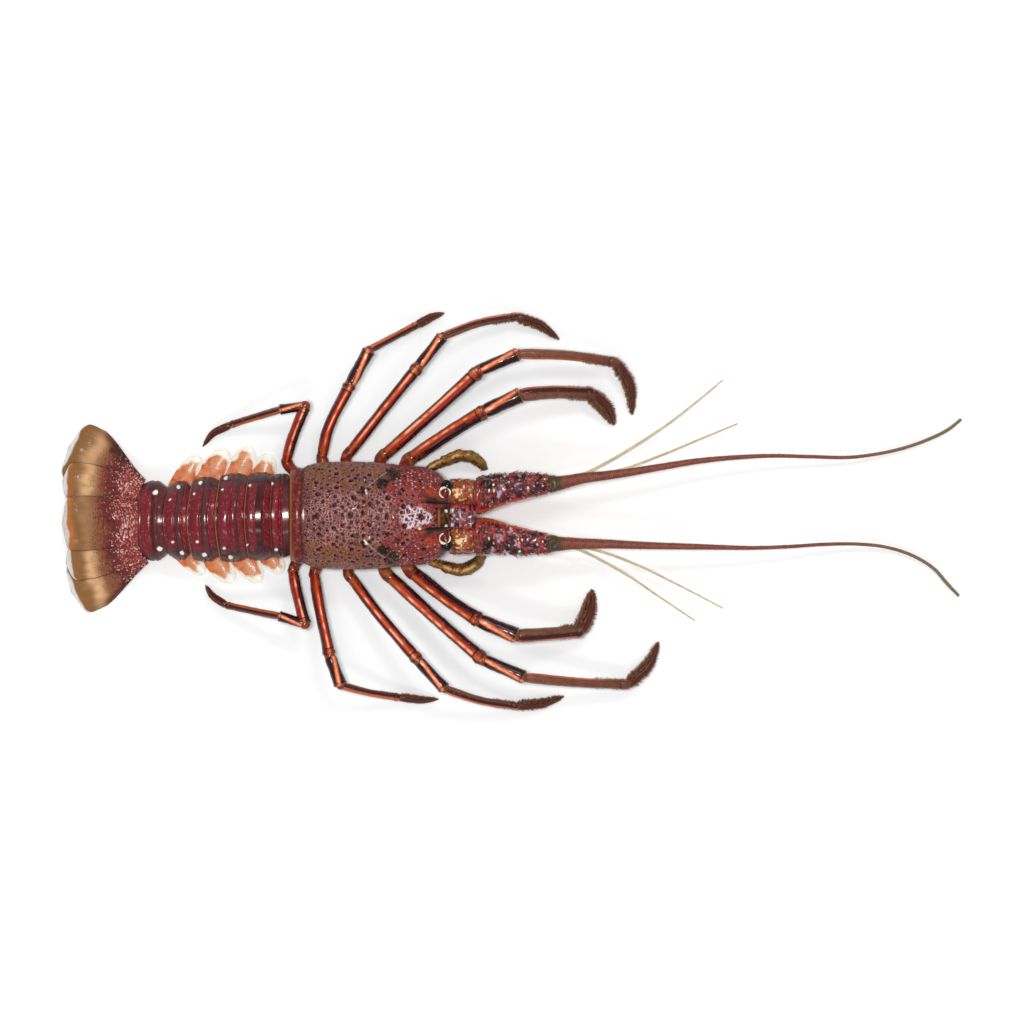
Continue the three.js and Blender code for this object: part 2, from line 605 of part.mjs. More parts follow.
function antennaBase(side, grow = 0) {
  const last = ANTENNA_BASE.length - 1;
  const middle = (x) => headAxis(x) + side * along(ANTENNA_BASE, x, 1);
  let base = toSolid(
    skin(12, last + 1, (step, angle, rim) => {
      const [x, , halfWidth, halfHeight] = ANTENNA_BASE[step];
      const end = step === 0 ? -grow : step === last ? grow : 0;
      return [
        x + end,
        middle(x) + power(-Math.sin(angle), 0.8) * (halfWidth + grow) * rim,
        ANTENNA_BASE_HEIGHT + power(Math.cos(angle), 0.8) * (halfHeight + grow) * rim,
      ];
    }),
  );
  if (grow) return base;
  // Spines along the top and both edges, longest at the far end of each joint.
  const rows = [[0.35, 1], [-0.55, 1.1], [1.2, 1.25]];
  const { radius, height, sides, from, to, pitch } = ANTENNA_SPINE;
  rows.forEach(([angle, size], i) => {
    for (let x = from + (i % 2) * 5; x < to; x += pitch) {
      const reach = (size * (x % 20 > 12 ? 1.5 : 1) * (170 - x * 0.55)) / 85;
      const out = side * Math.sin(angle);
      const foot = new THREE.Vector3(
        x,
        middle(x) + power(out, 0.8) * along(ANTENNA_BASE, x, 2),
        ANTENNA_BASE_HEIGHT + power(Math.cos(angle), 0.8) * along(ANTENNA_BASE, x, 3),
      );
      const lean = new THREE.Vector3(1.1, out, Math.cos(angle));
      base = base.add(spike(foot, lean, radius, height * reach, sides));
    }
  });
  return base;
}

const whip = (rows, around) => toSolid(limb(rows.map(([x, y, z, r]) => station([x, y, z], r)), around));

// Points on a smooth curve through a few given ones.
function curvePoints(points, count) {
  return new THREE.CatmullRomCurve3(points.map((p) => new THREE.Vector3(...p))).getPoints(count);
}

function antennule({ stem, whips }) {
  let solid = toSolid(limb(curvePoints(stem, 5).map((at) => ({ at, r: ANTENNULE_STEM })), 6));
  for (const points of whips) {
    const spots = curvePoints(points, 9);
    const taper = (i) => mix(1.5, 0.7, i / 9) * ANTENNULE_WHIP;
    solid = solid.add(toSolid(limb(spots.map((at, i) => ({ at, r: taper(i) })), 5)));
  }
  return solid;
}

// ---------------------------------------------------------------- under the body

function sternum(grow = 0) {
  const { rear, front, rearWidth, frontWidth, height, chamfer } = STERNUM;
  const rings = 7;
  return toSolid(
    skin(8, rings, (step, angle, rim) => {
      const t = step / (rings - 1);
      const w = mix(rearWidth, frontWidth, t) + grow;
      const half = height / 2 + grow;
      // An eight-sided section: flat below, flat above, with cut corners.
      const corner = Math.round((angle / Math.PI) * 4 - 0.5) + 0.5;
      const a = (corner * Math.PI) / 4;
      const level = Math.abs(Math.cos(a)) > Math.abs(Math.sin(a));
      const y = -Math.sign(Math.sin(a)) * (level ? w - chamfer : w);
      const z = Math.sign(Math.cos(a)) * (level ? half : half - chamfer);
      const x = mix(rear, front, t) + (step ? 0 : -grow) + (step === rings - 1 ? grow : 0);
      return [x, y * rim, height / 2 + z * rim];
    }),
  );
}

// The plate between the two antenna bases, where the antennules start.
function antennularPlate() {
  const { rear, front, halfWidth, top, bottom } = ANTENNULAR_PLATE;
  const rings = 6;
  return toSolid(
    skin(12, rings, (step, angle, rim) => {
      const t = step / (rings - 1);
      const shrink = 1 - 0.1 * t;
      return [
        mix(rear, front, t),
        HEAD_AXIS.y + power(-Math.sin(angle), 0.7) * halfWidth * rim * shrink,
        (top + bottom) / 2 + power(Math.cos(angle), 0.7) * ((top - bottom) / 2) * rim * shrink,
      ];
    }),
  );
}

// ---------------------------------------------------------------- assembly

const lobster = new THREE.Group();
lobster.position.set(...BODY_AT);

function addPiece(name, solid, material) {
  const mesh = new THREE.Mesh(toGeometry(solid), MATERIALS[material]);
  mesh.name = name;
  lobster.add(mesh);
}

const trunk = carapaceShell(GAP * 1.4).add(sternum(GAP));
addPiece('carapace', carapace(), 'carapace');
addPiece('sternum', sternum(), 'belly');
addPiece('antennular_plate', antennularPlate(), 'carapace');

const lastSomite = somite(SOMITES.length - 1, GAP);
SOMITES.forEach((_, i) => addPiece(`abdomen_${i + 1}`, somite(i), 'abdomen'));

addPiece('telson', leafPlate(TELSON), 'fan');
const grownTelson = leafPlate(TELSON, GAP);
for (const [side, { inner, outer }] of Object.entries(UROPODS)) {
  const clear = (spec) => leafPlate(spec).subtract(lastSomite).subtract(grownTelson);
  addPiece(`uropod_${side}_inner`, clear(inner), 'fan');
  addPiece(`uropod_${side}_outer`, clear(outer).subtract(leafPlate(inner, GAP)), 'fan');
}

for (const [side, sign] of [['left', 1], ['right', -1]]) {
  PLEOPODS[side].forEach((spec, i) => addPiece(`pleopod_${side}_${i + 1}`, pleopod(spec), 'pleopod'));
  LEGS[side].forEach((points, i) => {
    const limbSolid = leg(points, LEG_GIRTHS[i]).subtract(trunk);
    addPiece(`leg_${side}_${i + 1}`, limbSolid, 'leg');
  });
  addPiece(`eye_${side}`, eyeball(sign), 'eye');
  const base = antennaBase(sign).subtract(eyeball(sign, GAP)).subtract(trunk);
  addPiece(`antenna_base_${side}`, base, 'antenna');
  addPiece(`antenna_whip_${side}`, whip(ANTENNA_WHIPS[side], 7).subtract(antennaBase(sign, GAP)), 'antenna');
  addPiece(`antennule_${side}`, antennule(ANTENNULES[side]), 'antennule');
  addPiece(`maxilliped_${side}`, whip(MAXILLIPEDS[side], 7).subtract(trunk), 'maxilliped');
}

export default lobster;
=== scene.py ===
# A raw whole spiny lobster, lying belly down: how every plate, joint, spine and bristle looks.
# Sizes are written in millimetres in the body's own frame: +X to the head, +Y to the animal's left,
# +Z up, from the rear edge of the carapace at the level that the animal lies on.

import logging
import math
from collections.abc import Sequence
from dataclasses import dataclass, field
from enum import Enum

import bpy
import numpy as np
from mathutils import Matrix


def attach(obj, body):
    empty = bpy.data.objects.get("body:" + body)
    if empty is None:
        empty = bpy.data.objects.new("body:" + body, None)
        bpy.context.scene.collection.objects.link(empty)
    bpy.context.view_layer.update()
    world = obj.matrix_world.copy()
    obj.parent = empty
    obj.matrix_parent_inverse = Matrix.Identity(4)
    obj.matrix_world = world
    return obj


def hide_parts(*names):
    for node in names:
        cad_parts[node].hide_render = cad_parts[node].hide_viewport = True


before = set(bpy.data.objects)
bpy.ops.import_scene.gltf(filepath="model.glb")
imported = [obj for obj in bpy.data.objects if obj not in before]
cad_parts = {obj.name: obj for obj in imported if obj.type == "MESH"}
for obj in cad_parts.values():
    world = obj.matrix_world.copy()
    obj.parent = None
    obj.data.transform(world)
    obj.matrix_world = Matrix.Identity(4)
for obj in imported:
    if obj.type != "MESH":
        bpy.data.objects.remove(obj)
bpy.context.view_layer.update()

Array = np.ndarray
Point = tuple[float, float, float]

logging.basicConfig(level=logging.INFO, format="%(message)s")
log = logging.getLogger("lobster")

MM = 0.001  # metres in a millimetre
BODY_AT = np.array([-143.67, -2.72, 0.0])  # the body's own origin in the shared frame
ROOT = "root"


# ---------------------------------------------------------------- numbers


def smooth(t: Array | float) -> Array:
    """Eases from 0 to 1, flat at both ends."""
    t = np.clip(t, 0.0, 1.0)
    return t * t * (3 - 2 * t)


def mix(a: Array | float, b: Array | float, t: Array | float) -> Array:
    """Goes from a to b as t goes from 0 to 1."""
    return a + (b - a) * t


def power(value: Array, exponent: float) -> Array:
    """Raises the size of a value and keeps its sign."""
    return np.sign(value) * np.abs(value) ** exponent


def band(value: Array, start: float, end: float, soft: float) -> Array:
    """A share that is 1 from start to end, with soft edges.

    Args:
        value: Where to read it.
        start: Lower end of the band.
        end: Upper end of the band.
        soft: Width of each edge, in the same unit.

    Returns:
        The share at each value.
    """
    return smooth((value - start) / soft + 0.5) * (1 - smooth((value - end) / soft + 0.5))


def hump(value: Array, at: float, width: float) -> Array:
    """A rounded peak of height 1 at a place, fading over a width."""
    return np.exp(-(((value - at) / width) ** 2))


def along(rows: Sequence[Sequence[float]], x: Array | float, column: int = 1) -> Array:
    """Reads one column of a table on a smooth curve through its rows.

    Args:
        rows: Rows sorted by their first value.
        x: Where to read, in the unit of the first column.
        column: Which column to read.

    Returns:
        The value at each x.
    """
    knots = np.array([row[0] for row in rows], float)
    values = np.array([row[column] for row in rows], float)
    slopes = np.diff(values) / np.diff(knots)
    tangents = np.concatenate([slopes[:1], (slopes[:-1] + slopes[1:]) / 2, slopes[-1:]])
    x = np.clip(np.asarray(x, float), knots[0], knots[-1])
    i = np.clip(np.searchsorted(knots, x, side="left") - 1, 0, len(knots) - 2)
    span = knots[i + 1] - knots[i]
    t = (x - knots[i]) / span
    return (
        values[i] * (1 + 2 * t) * (1 - t) ** 2
        + values[i + 1] * t * t * (3 - 2 * t)
        + tangents[i] * span * t * (1 - t) ** 2
        + tangents[i + 1] * span * t * t * (t - 1)
    )


def curve(points: Sequence[Point], count: int) -> Array:
    """Points on a smooth curve through a few given ones.

    Args:
        points: The given points.
        count: How many points to return.

    Returns:
        The points, evenly spaced by the given ones' distances, shaped (count, 3).
    """
    spots = np.array(points, float)
    reach = np.concatenate([[0], np.cumsum(np.linalg.norm(np.diff(spots, axis=0), axis=1))])
    where = np.linspace(0, reach[-1], count)
    rows = np.column_stack([reach, spots])
    return np.stack([along(rows, where, k) for k in (1, 2, 3)], axis=-1)


def draw(*keys: Array | float) -> Array:
    """A repeatable draw between 0 and 1 for each set of keys."""
    weights = (12.9898, 78.233, 37.719, 4.581)
    value = np.sin(sum(key * weight for key, weight in zip(keys, weights))) * 43758.5453
    return value - np.floor(value)


def cloud(points: Array, pitch: float, seed: float = 0.0) -> Array:
    """Soft noise from 0 to 1 that changes over a length.

    Args:
        points: Where to read it, in millimetres.
        pitch: Length over which it changes.
        seed: Which noise.

    Returns:
        The noise at each point.
    """
    grid = points / pitch
    cell = np.floor(grid)
    share = smooth(grid - cell)
    total = np.zeros(points.shape[:-1])
    for corner in np.ndindex(2, 2, 2):
        weight = np.prod(np.where(np.array(corner, bool), share, 1 - share), axis=-1)
        keys = [cell[..., k] + corner[k] for k in range(3)]
        total += weight * draw(*keys, seed)
    return total


@dataclass(frozen=True)
class Net:
    """Scattered spots, one in each square of a net.

    Attributes:
        pitch: Side of a square in millimetres.
        seed: Which scatter.
        jitter: How far a spot strays from the middle of its square, as a share of the square.
    """

    pitch: float
    seed: float
    jitter: float = 0.75

    def spot(self, row: Array, column: Array) -> tuple[Array, Array]:
        """The spot in a square, in squares. Every second row is shifted by half a square."""
        stray = self.jitter * (draw(row, column, self.seed) - 0.5)
        drift = self.jitter * (draw(row, column, self.seed + 7.3) - 0.5)
        return row + 0.5 + stray, column + 0.5 + drift + 0.5 * (row % 2)

    def read(self, u: Array, v: Array) -> tuple[Array, Array, Array]:
        """How far each place is from the spots.

        Args:
            u: First coordinate in millimetres.
            v: Second coordinate in millimetres.

        Returns:
            The distance to the nearest spot, to the second nearest, and a draw for the nearest.
        """
        a, b = u / self.pitch, v / self.pitch
        near = np.full(a.shape, 9.0)
        second = near.copy()
        lot = np.zeros(a.shape)
        for down in (-1, 0, 1):
            row = np.floor(a) + down
            shifted = b - 0.5 * (row % 2)
            for over in (-1, 0, 1):
                column = np.floor(shifted) + over
                at_a, at_b = self.spot(row, column)
                gap = np.hypot(a - at_a, b - at_b)
                closer = gap < near
                second = np.where(closer, near, np.minimum(second, gap))
                lot = np.where(closer, draw(row, column, self.seed + 3.1), lot)
                near = np.where(closer, gap, near)
        return near * self.pitch, second * self.pitch, lot

    def spots(self, u_range: tuple[float, float], v_range: tuple[float, float]) -> tuple[Array, Array, Array]:
        """Lists the spots inside a window.

        Args:
            u_range: Ends of the window along the first coordinate, in millimetres.
            v_range: Ends of the window along the second coordinate.

        Returns:
            The two coordinates of each spot and its draw.
        """
        rows = np.arange(math.floor(u_range[0] / self.pitch), math.ceil(u_range[1] / self.pitch))
        columns = np.arange(math.floor(v_range[0] / self.pitch) - 1, math.ceil(v_range[1] / self.pitch))
        row, column = (grid.ravel().astype(float) for grid in np.meshgrid(rows, columns))
        u, v = (place * self.pitch for place in self.spot(row, column))
        inside = (u > u_range[0]) & (u < u_range[1]) & (v > v_range[0]) & (v < v_range[1])
        return u[inside], v[inside], draw(row, column, self.seed + 3.1)[inside]


def blots(u: Array, v: Array, spots: Sequence[Point], soft: float = 0.5) -> Array:
    """A share that is 1 on round spots.

    Args:
        u: First coordinate of the places.
        v: Second coordinate of the places.
        spots: Each spot's two coordinates and its radius.
        soft: Share of the radius over which its edge fades.

    Returns:
        The share at each place.
    """
    total = np.zeros(u.shape)
    for at_u, at_v, radius in spots:
        gap = np.hypot(u - at_u, v - at_v) / radius
        total = np.maximum(total, 1 - smooth((gap - 1 + soft / 2) / soft))
    return total


# ---------------------------------------------------------------- skins


@dataclass
class Skin:
    """A tube of rings, each closed on itself, with the marks that its finish reads.

    Attributes:
        points: Corners in millimetres in the body's frame, shaped (rings, around, 3).
        marks: Shares from 0 to 1 at the corners, by name, shaped (rings, around).
        look: Which of the piece's finishes it takes.
    """

    points: Array
    marks: dict[str, Array] = field(default_factory=dict)
    look: int = 0

    def corners(self) -> Array:
        """All corners, with the middle of each end last."""
        ends = self.points[[0, -1]].mean(axis=1)
        return np.concatenate([self.points.reshape(-1, 3), ends])

    def mark(self, name: str) -> Array:
        """One mark at all corners, 0 where the skin has none."""
        grid = self.marks.get(name, np.zeros(self.points.shape[:2]))
        grid = np.broadcast_to(grid, self.points.shape[:2])
        return np.concatenate([grid.ravel(), grid[[0, -1]].mean(axis=1)])

    def faces(self) -> tuple[Array, Array]:
        """Quads of the wall and triangles of the two ends, all pointing outwards."""
        rings, around = self.points.shape[:2]
        index = np.arange(rings * around).reshape(rings, around)
        turned = np.roll(index, -1, axis=1)
        wall = np.stack([index[:-1], turned[:-1], turned[1:], index[1:]], axis=-1).reshape(-1, 4)
        first, last = rings * around, rings * around + 1
        start = np.stack([np.full(around, first), turned[0], index[0]], axis=-1)
        stop = np.stack([np.full(around, last), index[-1], turned[-1]], axis=-1)
        ends = np.concatenate([start, stop])
        spots = self.corners()
        a, b, c = (spots[wall[:, k]] for k in (0, 1, 2))
        d = spots[wall[:, 3]]
        volume = np.sum(a * np.cross(b, c)) + np.sum(a * np.cross(c, d))
        if volume < 0:
            wall, ends = wall[:, ::-1], ends[:, ::-1]
        return wall, ends


def make_object(name: str, skins: Sequence[Skin], finishes: Sequence[bpy.types.Material]) -> bpy.types.Object:
    """Joins skins into one mesh object at the origin of the shared frame.

    Args:
        name: Name of the piece.
        skins: Its skins.
        finishes: The materials that the skins' looks choose from.

    Returns:
        The object.
    """
    spots = np.concatenate([skin.corners() for skin in skins])
    spots[:, 2] = np.maximum(spots[:, 2], 0.02)  # nothing sinks into the table
    loops, sizes, looks, base = [], [], [], 0
    for skin in skins:
        wall, ends = skin.faces()
        for faces in (wall, ends):
            loops.append((faces + base).ravel())
            sizes.append(np.full(len(faces), faces.shape[1]))
            looks.append(np.full(len(faces), skin.look))
        base += len(skin.corners())
    corner, size, look = (np.concatenate(part).astype(np.int32) for part in (loops, sizes, looks))
    mesh = bpy.data.meshes.new(name)
    mesh.vertices.add(len(spots))
    mesh.vertices.foreach_set("co", ((spots + BODY_AT) * MM).astype(np.float32).ravel())
    mesh.loops.add(len(corner))
    mesh.loops.foreach_set("vertex_index", corner)
    mesh.polygons.add(len(size))
    starts = np.concatenate([[0], np.cumsum(size)[:-1]]).astype(np.int32)
    mesh.polygons.foreach_set("loop_start", starts)
    mesh.polygons.foreach_set("material_index", look)
    mesh.update(calc_edges=True)
    mesh.shade_smooth()
    for title in sorted({title for skin in skins for title in skin.marks}):
        layer = mesh.attributes.new(title, "FLOAT", "POINT")
        values = np.concatenate([skin.mark(title) for skin in skins])
        layer.data.foreach_set("value", values.astype(np.float32))
    for finish in finishes:
        mesh.materials.append(finish)
    piece = bpy.data.objects.new(name, mesh)
    bpy.context.scene.collection.objects.link(piece)
    return piece


def settle(piece: bpy.types.Object, slot: str, *nodes: str) -> None:
    """Lets a finished piece ride on the body, hides the solids that it stands for and logs its slot.

    Args:
        piece: The finished piece.
        slot: Name of its material slot, shown in the log.
        nodes: CAD nodes that it replaces, if any.
    """
    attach(piece, ROOT)
    if nodes:
        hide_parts(*nodes)
    log.info("%-26s %7d faces, slot %s", piece.name, len(piece.data.polygons), slot)


def normals(points: Array) -> Array:
    """Unit directions off a grid of points, away from its middle line."""
    run = np.gradient(points, axis=0)
    turn = np.roll(points, -1, axis=1) - np.roll(points, 1, axis=1)
    out = np.cross(run, turn)
    out /= np.linalg.norm(out, axis=-1, keepdims=True) + 1e-9
    middle = points.mean(axis=1, keepdims=True)
    facing = np.sign(np.sum(out * (points - middle)))
    return out * (facing if facing else 1.0)


def raised(points: Array, relief: Array) -> Array:
    """Moves a grid of points off its surface by a relief in millimetres."""
    return points + normals(points) * relief[..., None]


def ring_angles(around: int) -> Array:
    """Angles round a ring from the top, -pi to pi, without the last."""
    return np.linspace(-math.pi, math.pi, around, endpoint=False)


def tube(path: Array, girth: Array, angles: Array, flatten: float = 1.0, square: float = 1.0) -> Array:
    """A limb of round section along a path.

    Args:
        path: Middle line, shaped (rings, 3).
        girth: Half thickness at each ring, or at each corner.
        angles: Angles round the section, from the top; positive turns to the right of the heading.
        flatten: Height of the section over its width.
        square: Below 1 squares the section off.

    Returns:
        The corners, shaped (rings, around, 3).
    """
    heading = np.gradient(path, axis=0)
    heading /= np.linalg.norm(heading, axis=1, keepdims=True)
    side = np.cross([0.0, 0.0, 1.0], heading)
    side /= np.linalg.norm(side, axis=1, keepdims=True)
    top = np.cross(heading, side)
    wide = np.asarray(girth, float)
    wide = wide[:, None] if wide.ndim == 1 else wide
    out = -power(np.sin(angles), square)[None, :] * wide
    high = power(np.cos(angles), square)[None, :] * wide * flatten
    return path[:, None] + side[:, None] * out[..., None] + top[:, None] * high[..., None]


def ball(centre: Array, radius: float, look: int = 0, around: int = 40, **marks: float) -> Skin:
    """A ball of rings round the X axis, with even marks."""
    turn = np.linspace(0.02, math.pi - 0.02, around)[:, None]
    angles = ring_angles(around)[None, :]
    x = -np.cos(turn) + 0 * angles
    points = np.stack([x, np.sin(turn) * np.sin(angles), np.sin(turn) * np.cos(angles)], axis=-1)
    return Skin(centre + points * radius, {name: np.full(x.shape, share) for name, share in marks.items()}, look)


# ---------------------------------------------------------------- finishes


def linear(code: str) -> tuple[float, float, float, float]:
    """Turns an sRGB hex colour such as #aabbcc into linear RGBA."""
    parts = [int(code[i : i + 2], 16) / 255 for i in (1, 3, 5)]
    red, green, blue = (p / 12.92 if p <= 0.04045 else ((p + 0.055) / 1.055) ** 2.4 for p in parts)
    return red, green, blue, 1.0


def add(tree: bpy.types.NodeTree, kind: str, inputs: dict | None = None, **settings: object) -> bpy.types.Node:
    """Adds a node with its settings, its set inputs and its links.

    Args:
        tree: The node tree.
        kind: The node's type name.
        inputs: Values or output sockets by the input's name or number.
        settings: Properties of the node itself.

    Returns:
        The node.
    """
    node = tree.nodes.new(kind)
    for title, value in settings.items():
        setattr(node, title, value)
    for key, value in (inputs or {}).items():
        if isinstance(value, bpy.types.NodeSocket):
            tree.links.new(value, node.inputs[key])
        else:
            node.inputs[key].default_value = value
    return node


MIX_A, MIX_B, MIX_COLOUR = 6, 7, 2  # the colour sockets of a Mix node


@dataclass(frozen=True)
class Finish:
    """A raw crustacean surface: mottled, marked, grained and more or less wet.

    Attributes:
        title: What the surface is.
        dark: One end of its mottled ground colour.
        light: The other end.
        mottle: Size of the mottling in millimetres.
        layers: Marks laid over the ground in order, each with its colour.
        flecks: Sets of fine flecks, each with its colour, the millimetres between them and the share
            of that distance that the largest cover.
        nets: Fine nets of lines, each with the mark that gives its strength, its colour, the width of
            its cells in millimetres and the share of a cell that a line covers.
        under: How many of the layers lie under the flecks.
        rough: Roughness of its smoothest and roughest places.
        coat: How wet it is, from 0 to 1.
        grain: Size of its finest relief in millimetres.
        depth: Depth of that relief in millimetres.
        milky: How far light spreads in it, from 0 to 1.
        gleam: Colour of the light that the shell itself throws back.
        bend: Its index of refraction.
        dry: Mark where it is rough and dry, if any.
    """

    title: str
    dark: str
    light: str
    mottle: float
    layers: tuple[tuple[str, str], ...] = ()
    flecks: tuple[tuple[str, float, float], ...] = ()
    nets: tuple[tuple[str, str, float, float], ...] = ()
    under: int = 0
    rough: tuple[float, float] = (0.3, 0.5)
    coat: float = 0.3
    grain: float = 0.5
    depth: float = 0.06
    milky: float = 0.0
    gleam: str = "#ffffff"
    bend: float = 1.5
    dry: str = ""

    def build(self) -> bpy.types.Material:
        """Builds the material.

        Returns:
            The node material, read on Object coordinates and the piece's own marks.
        """
        material = bpy.data.materials.new(self.title)
        material.use_nodes = True
        tree = material.node_tree
        tree.nodes.clear()
        place = add(tree, "ShaderNodeTexCoord").outputs["Object"]
        patches = add(
            tree, "ShaderNodeTexNoise", {"Vector": place, "Scale": 1 / (self.mottle * MM), "Detail": 4.0}
        ).outputs["Fac"]
        share = add(
            tree, "ShaderNodeMapRange", {"Value": patches, "From Min": 0.34, "From Max": 0.66}
        ).outputs["Result"]
        colour = add(
            tree,
            "ShaderNodeMix",
            {0: share, MIX_A: linear(self.dark), MIX_B: linear(self.light)},
            data_type="RGBA",
        ).outputs[MIX_COLOUR]
        colour = self.lay(tree, colour, self.layers[: self.under])
        for code, size, reach in self.flecks:
            spots = add(tree, "ShaderNodeTexVoronoi", {"Vector": place, "Scale": 1 / (size * MM)}).outputs
            lot = add(tree, "ShaderNodeSeparateColor", {"Color": spots["Color"]}).outputs["Red"]
            gap = add(
                tree, "ShaderNodeMath", {0: lot, 1: reach, 2: spots["Distance"]}, operation="MULTIPLY_ADD"
            ).outputs[0]
            dot = add(
                tree, "ShaderNodeMapRange", {"Value": gap, "From Min": reach, "From Max": reach * 0.7}
            ).outputs["Result"]
            colour = add(
                tree, "ShaderNodeMix", {0: dot, MIX_A: colour, MIX_B: linear(code)}, data_type="RGBA"
            ).outputs[MIX_COLOUR]
        for title, code, size, width in self.nets:
            cells = add(
                tree,
                "ShaderNodeTexVoronoi",
                {"Vector": place, "Scale": 1 / (size * MM)},
                feature="DISTANCE_TO_EDGE",
            ).outputs["Distance"]
            strength = add(tree, "ShaderNodeAttribute", attribute_name=title).outputs["Fac"]
            line = add(
                tree,
                "ShaderNodeMapRange",
                {"Value": cells, "From Min": width, "From Max": width * 0.4, "To Max": strength},
            ).outputs["Result"]
            colour = add(
                tree, "ShaderNodeMix", {0: line, MIX_A: colour, MIX_B: linear(code)}, data_type="RGBA"
            ).outputs[MIX_COLOUR]
        colour = self.lay(tree, colour, self.layers[self.under :])
        fine = add(
            tree, "ShaderNodeTexNoise", {"Vector": place, "Scale": 1 / (self.grain * MM), "Detail": 3.0}
        ).outputs["Fac"]
        wear = add(
            tree,
            "ShaderNodeMapRange",
            {"Value": patches, "To Min": self.rough[0], "To Max": self.rough[1]},
        ).outputs["Result"]
        if self.dry:
            mark = add(tree, "ShaderNodeAttribute", attribute_name=self.dry).outputs["Fac"]
            wear = add(
                tree, "ShaderNodeMapRange", {"Value": mark, "To Min": wear, "To Max": 0.75}
            ).outputs["Result"]
        lumps = add(
            tree, "ShaderNodeBump", {"Height": fine, "Distance": self.depth * MM, "Strength": 1.0}
        ).outputs["Normal"]
        shell = add(
            tree,
            "ShaderNodeBsdfPrincipled",
            {
                "Base Color": colour,
                "Roughness": wear,
                "Normal": lumps,
                "IOR": self.bend,
                "Specular Tint": linear(self.gleam),
                "Coat Weight": self.coat,
                "Coat Roughness": 0.08,
                "Coat IOR": 1.38,
                "Subsurface Weight": self.milky,
                "Subsurface Scale": 0.002,
            },
        ).outputs["BSDF"]
        add(tree, "ShaderNodeOutputMaterial", {"Surface": shell})
        return material

    @staticmethod
    def lay(
        tree: bpy.types.NodeTree, colour: bpy.types.NodeSocket, layers: Sequence[tuple[str, str]]
    ) -> bpy.types.NodeSocket:
        """Lays marks over a colour.

        Args:
            tree: The node tree.
            colour: The colour below.
            layers: Each mark's attribute and colour, the lowest first.

        Returns:
            The colour on top.
        """
        for title, code in layers:
            mark = add(tree, "ShaderNodeAttribute", attribute_name=title).outputs["Fac"]
            colour = add(
                tree, "ShaderNodeMix", {0: mark, MIX_A: colour, MIX_B: linear(code)}, data_type="RGBA"
            ).outputs[MIX_COLOUR]
        return colour


# Granular calcified shell of the back: matt mauve-brown with a pale felted net between dark granules.
GRANULAR_SHELL = Finish(
    "Calcified cuticle, granular and felted",
    "#43191c",
    "#6e3535",
    1.7,
    layers=(
        ("warm", "#74421f"),
        ("crimson", "#80191b"),
        ("plum", "#321a40"),
        ("halo", "#b07a72"),
        # pit: dark spots, partly painted shade at the spines' feet, and painted shade in the rear groove
        ("pit", "#2a0a0e"),
        ("rim", "#601620"),
        ("gold", "#8d5222"),
        ("ember", "#a83a18"),
        # black: dark patches, and painted shade on the inner side of each horn
        ("black", "#10120a"),
        # cream: pale spots, and a painted highlight just ahead of the rear groove
        ("cream", "#f8eadc"),
    ),
    flecks=(("#2c0e10", 1.3, 0.36), ("#d8a89c", 1.7, 0.24), ("#f2d8cc", 2.9, 0.15)),
    nets=(("lace", "#bd8980", 2.0, 0.1), ("lilac", "#dccbd8", 2.6, 0.17)),
    under=3,
    rough=(0.3, 0.46),
    coat=0.25,
    grain=0.5,
    depth=0.18,
    gleam="#e8b8b0",
    bend=1.42,
)
# Smooth sliding shell of the tail: deep wine red under a film of water, so it mirrors the lamps.
TAIL_SHELL = Finish(
    "Calcified cuticle, smooth and wet",
    "#4c1519",
    "#6f2026",
    3.2,
    layers=(
        ("grey", "#5a3434"),
        ("crimson", "#8c1c28"),
        # dark: dark bands and flanks, and painted shade along the cross grooves
        ("dark", "#260c0d"),
        ("plum", "#3a1724"),
        ("dots", "#cc7c76"),
        ("gold", "#b06c24"),
        ("cream", "#fff8ec"),
        ("belly", "#c4a290"),
    ),
    rough=(0.14, 0.25),
    coat=0.35,
    grain=0.9,
    depth=0.04,
    gleam="#f8dcd8",
    bend=1.42,
    dry="dry",
)
# Leathery end of the fan: satin tan with fine rays, and a rim like wet parchment.
FAN_LEATHER = Finish(
    "Leathery fan, half calcified",
    "#6c2224",
    "#9e403e",
    2.2,
    layers=(
        ("plum", "#4c2024"),
        ("tan", "#825434"),
        ("olive", "#755424"),
        ("peach", "#d8aa7e"),
        ("orange", "#c47032"),
        ("rim", "#dde0de"),
        ("ink", "#2a1410"),
        # specks: pale speckles, and painted glints near the root
        ("specks", "#f8d0c4"),
    ),
    rough=(0.42, 0.6),
    coat=0.08,
    grain=0.45,
    depth=0.07,
    milky=0.04,
    gleam="#c8a890",
)
# Soft swimmeret: a thin wet flap, orange in the middle and clear as gelatine at its edge.
SOFT_FLAP = Finish(
    "Soft flap, thin and wet",
    "#bc4c0a",
    "#e67c1e",
    3.0,
    layers=(
        ("peach", "#d08e58"),
        ("cream", "#f9f1e0"),
        ("white", "#fffdf8"),
        ("ink", "#6a3a18"),
    ),
    rough=(0.35, 0.5),
    coat=0.12,
    grain=0.6,
    depth=0.05,
    milky=0.15,
)
# Limb shell: hard, polished and wet, dark plum with bright lengthwise stripes and a painted highlight along those of
# thigh and wrist.
LIMB_SHELL = Finish(
    "Limb cuticle, hard and polished",
    "#3b1219",
    "#5c2022",
    2.6,
    layers=(
        ("brown", "#84533c"),
        ("red", "#98200f"),
        ("black", "#1f0b17"),
        ("stripe", "#e66a32"),
        # glint: a painted highlight along the stripe
        ("glint", "#ffc6a2"),
        # gold: golden shell, and partly painted glints on the knee collars
        ("gold", "#a8682c"),
        ("felt", "#442418"),
        ("line", "#120708"),
    ),
    flecks=(("#1d0910", 1.6, 0.34), ("#b06a5c", 2.0, 0.22)),
    under=3,
    rough=(0.17, 0.3),
    coat=0.45,
    grain=0.7,
    depth=0.06,
    gleam="#f0c0b0",
)
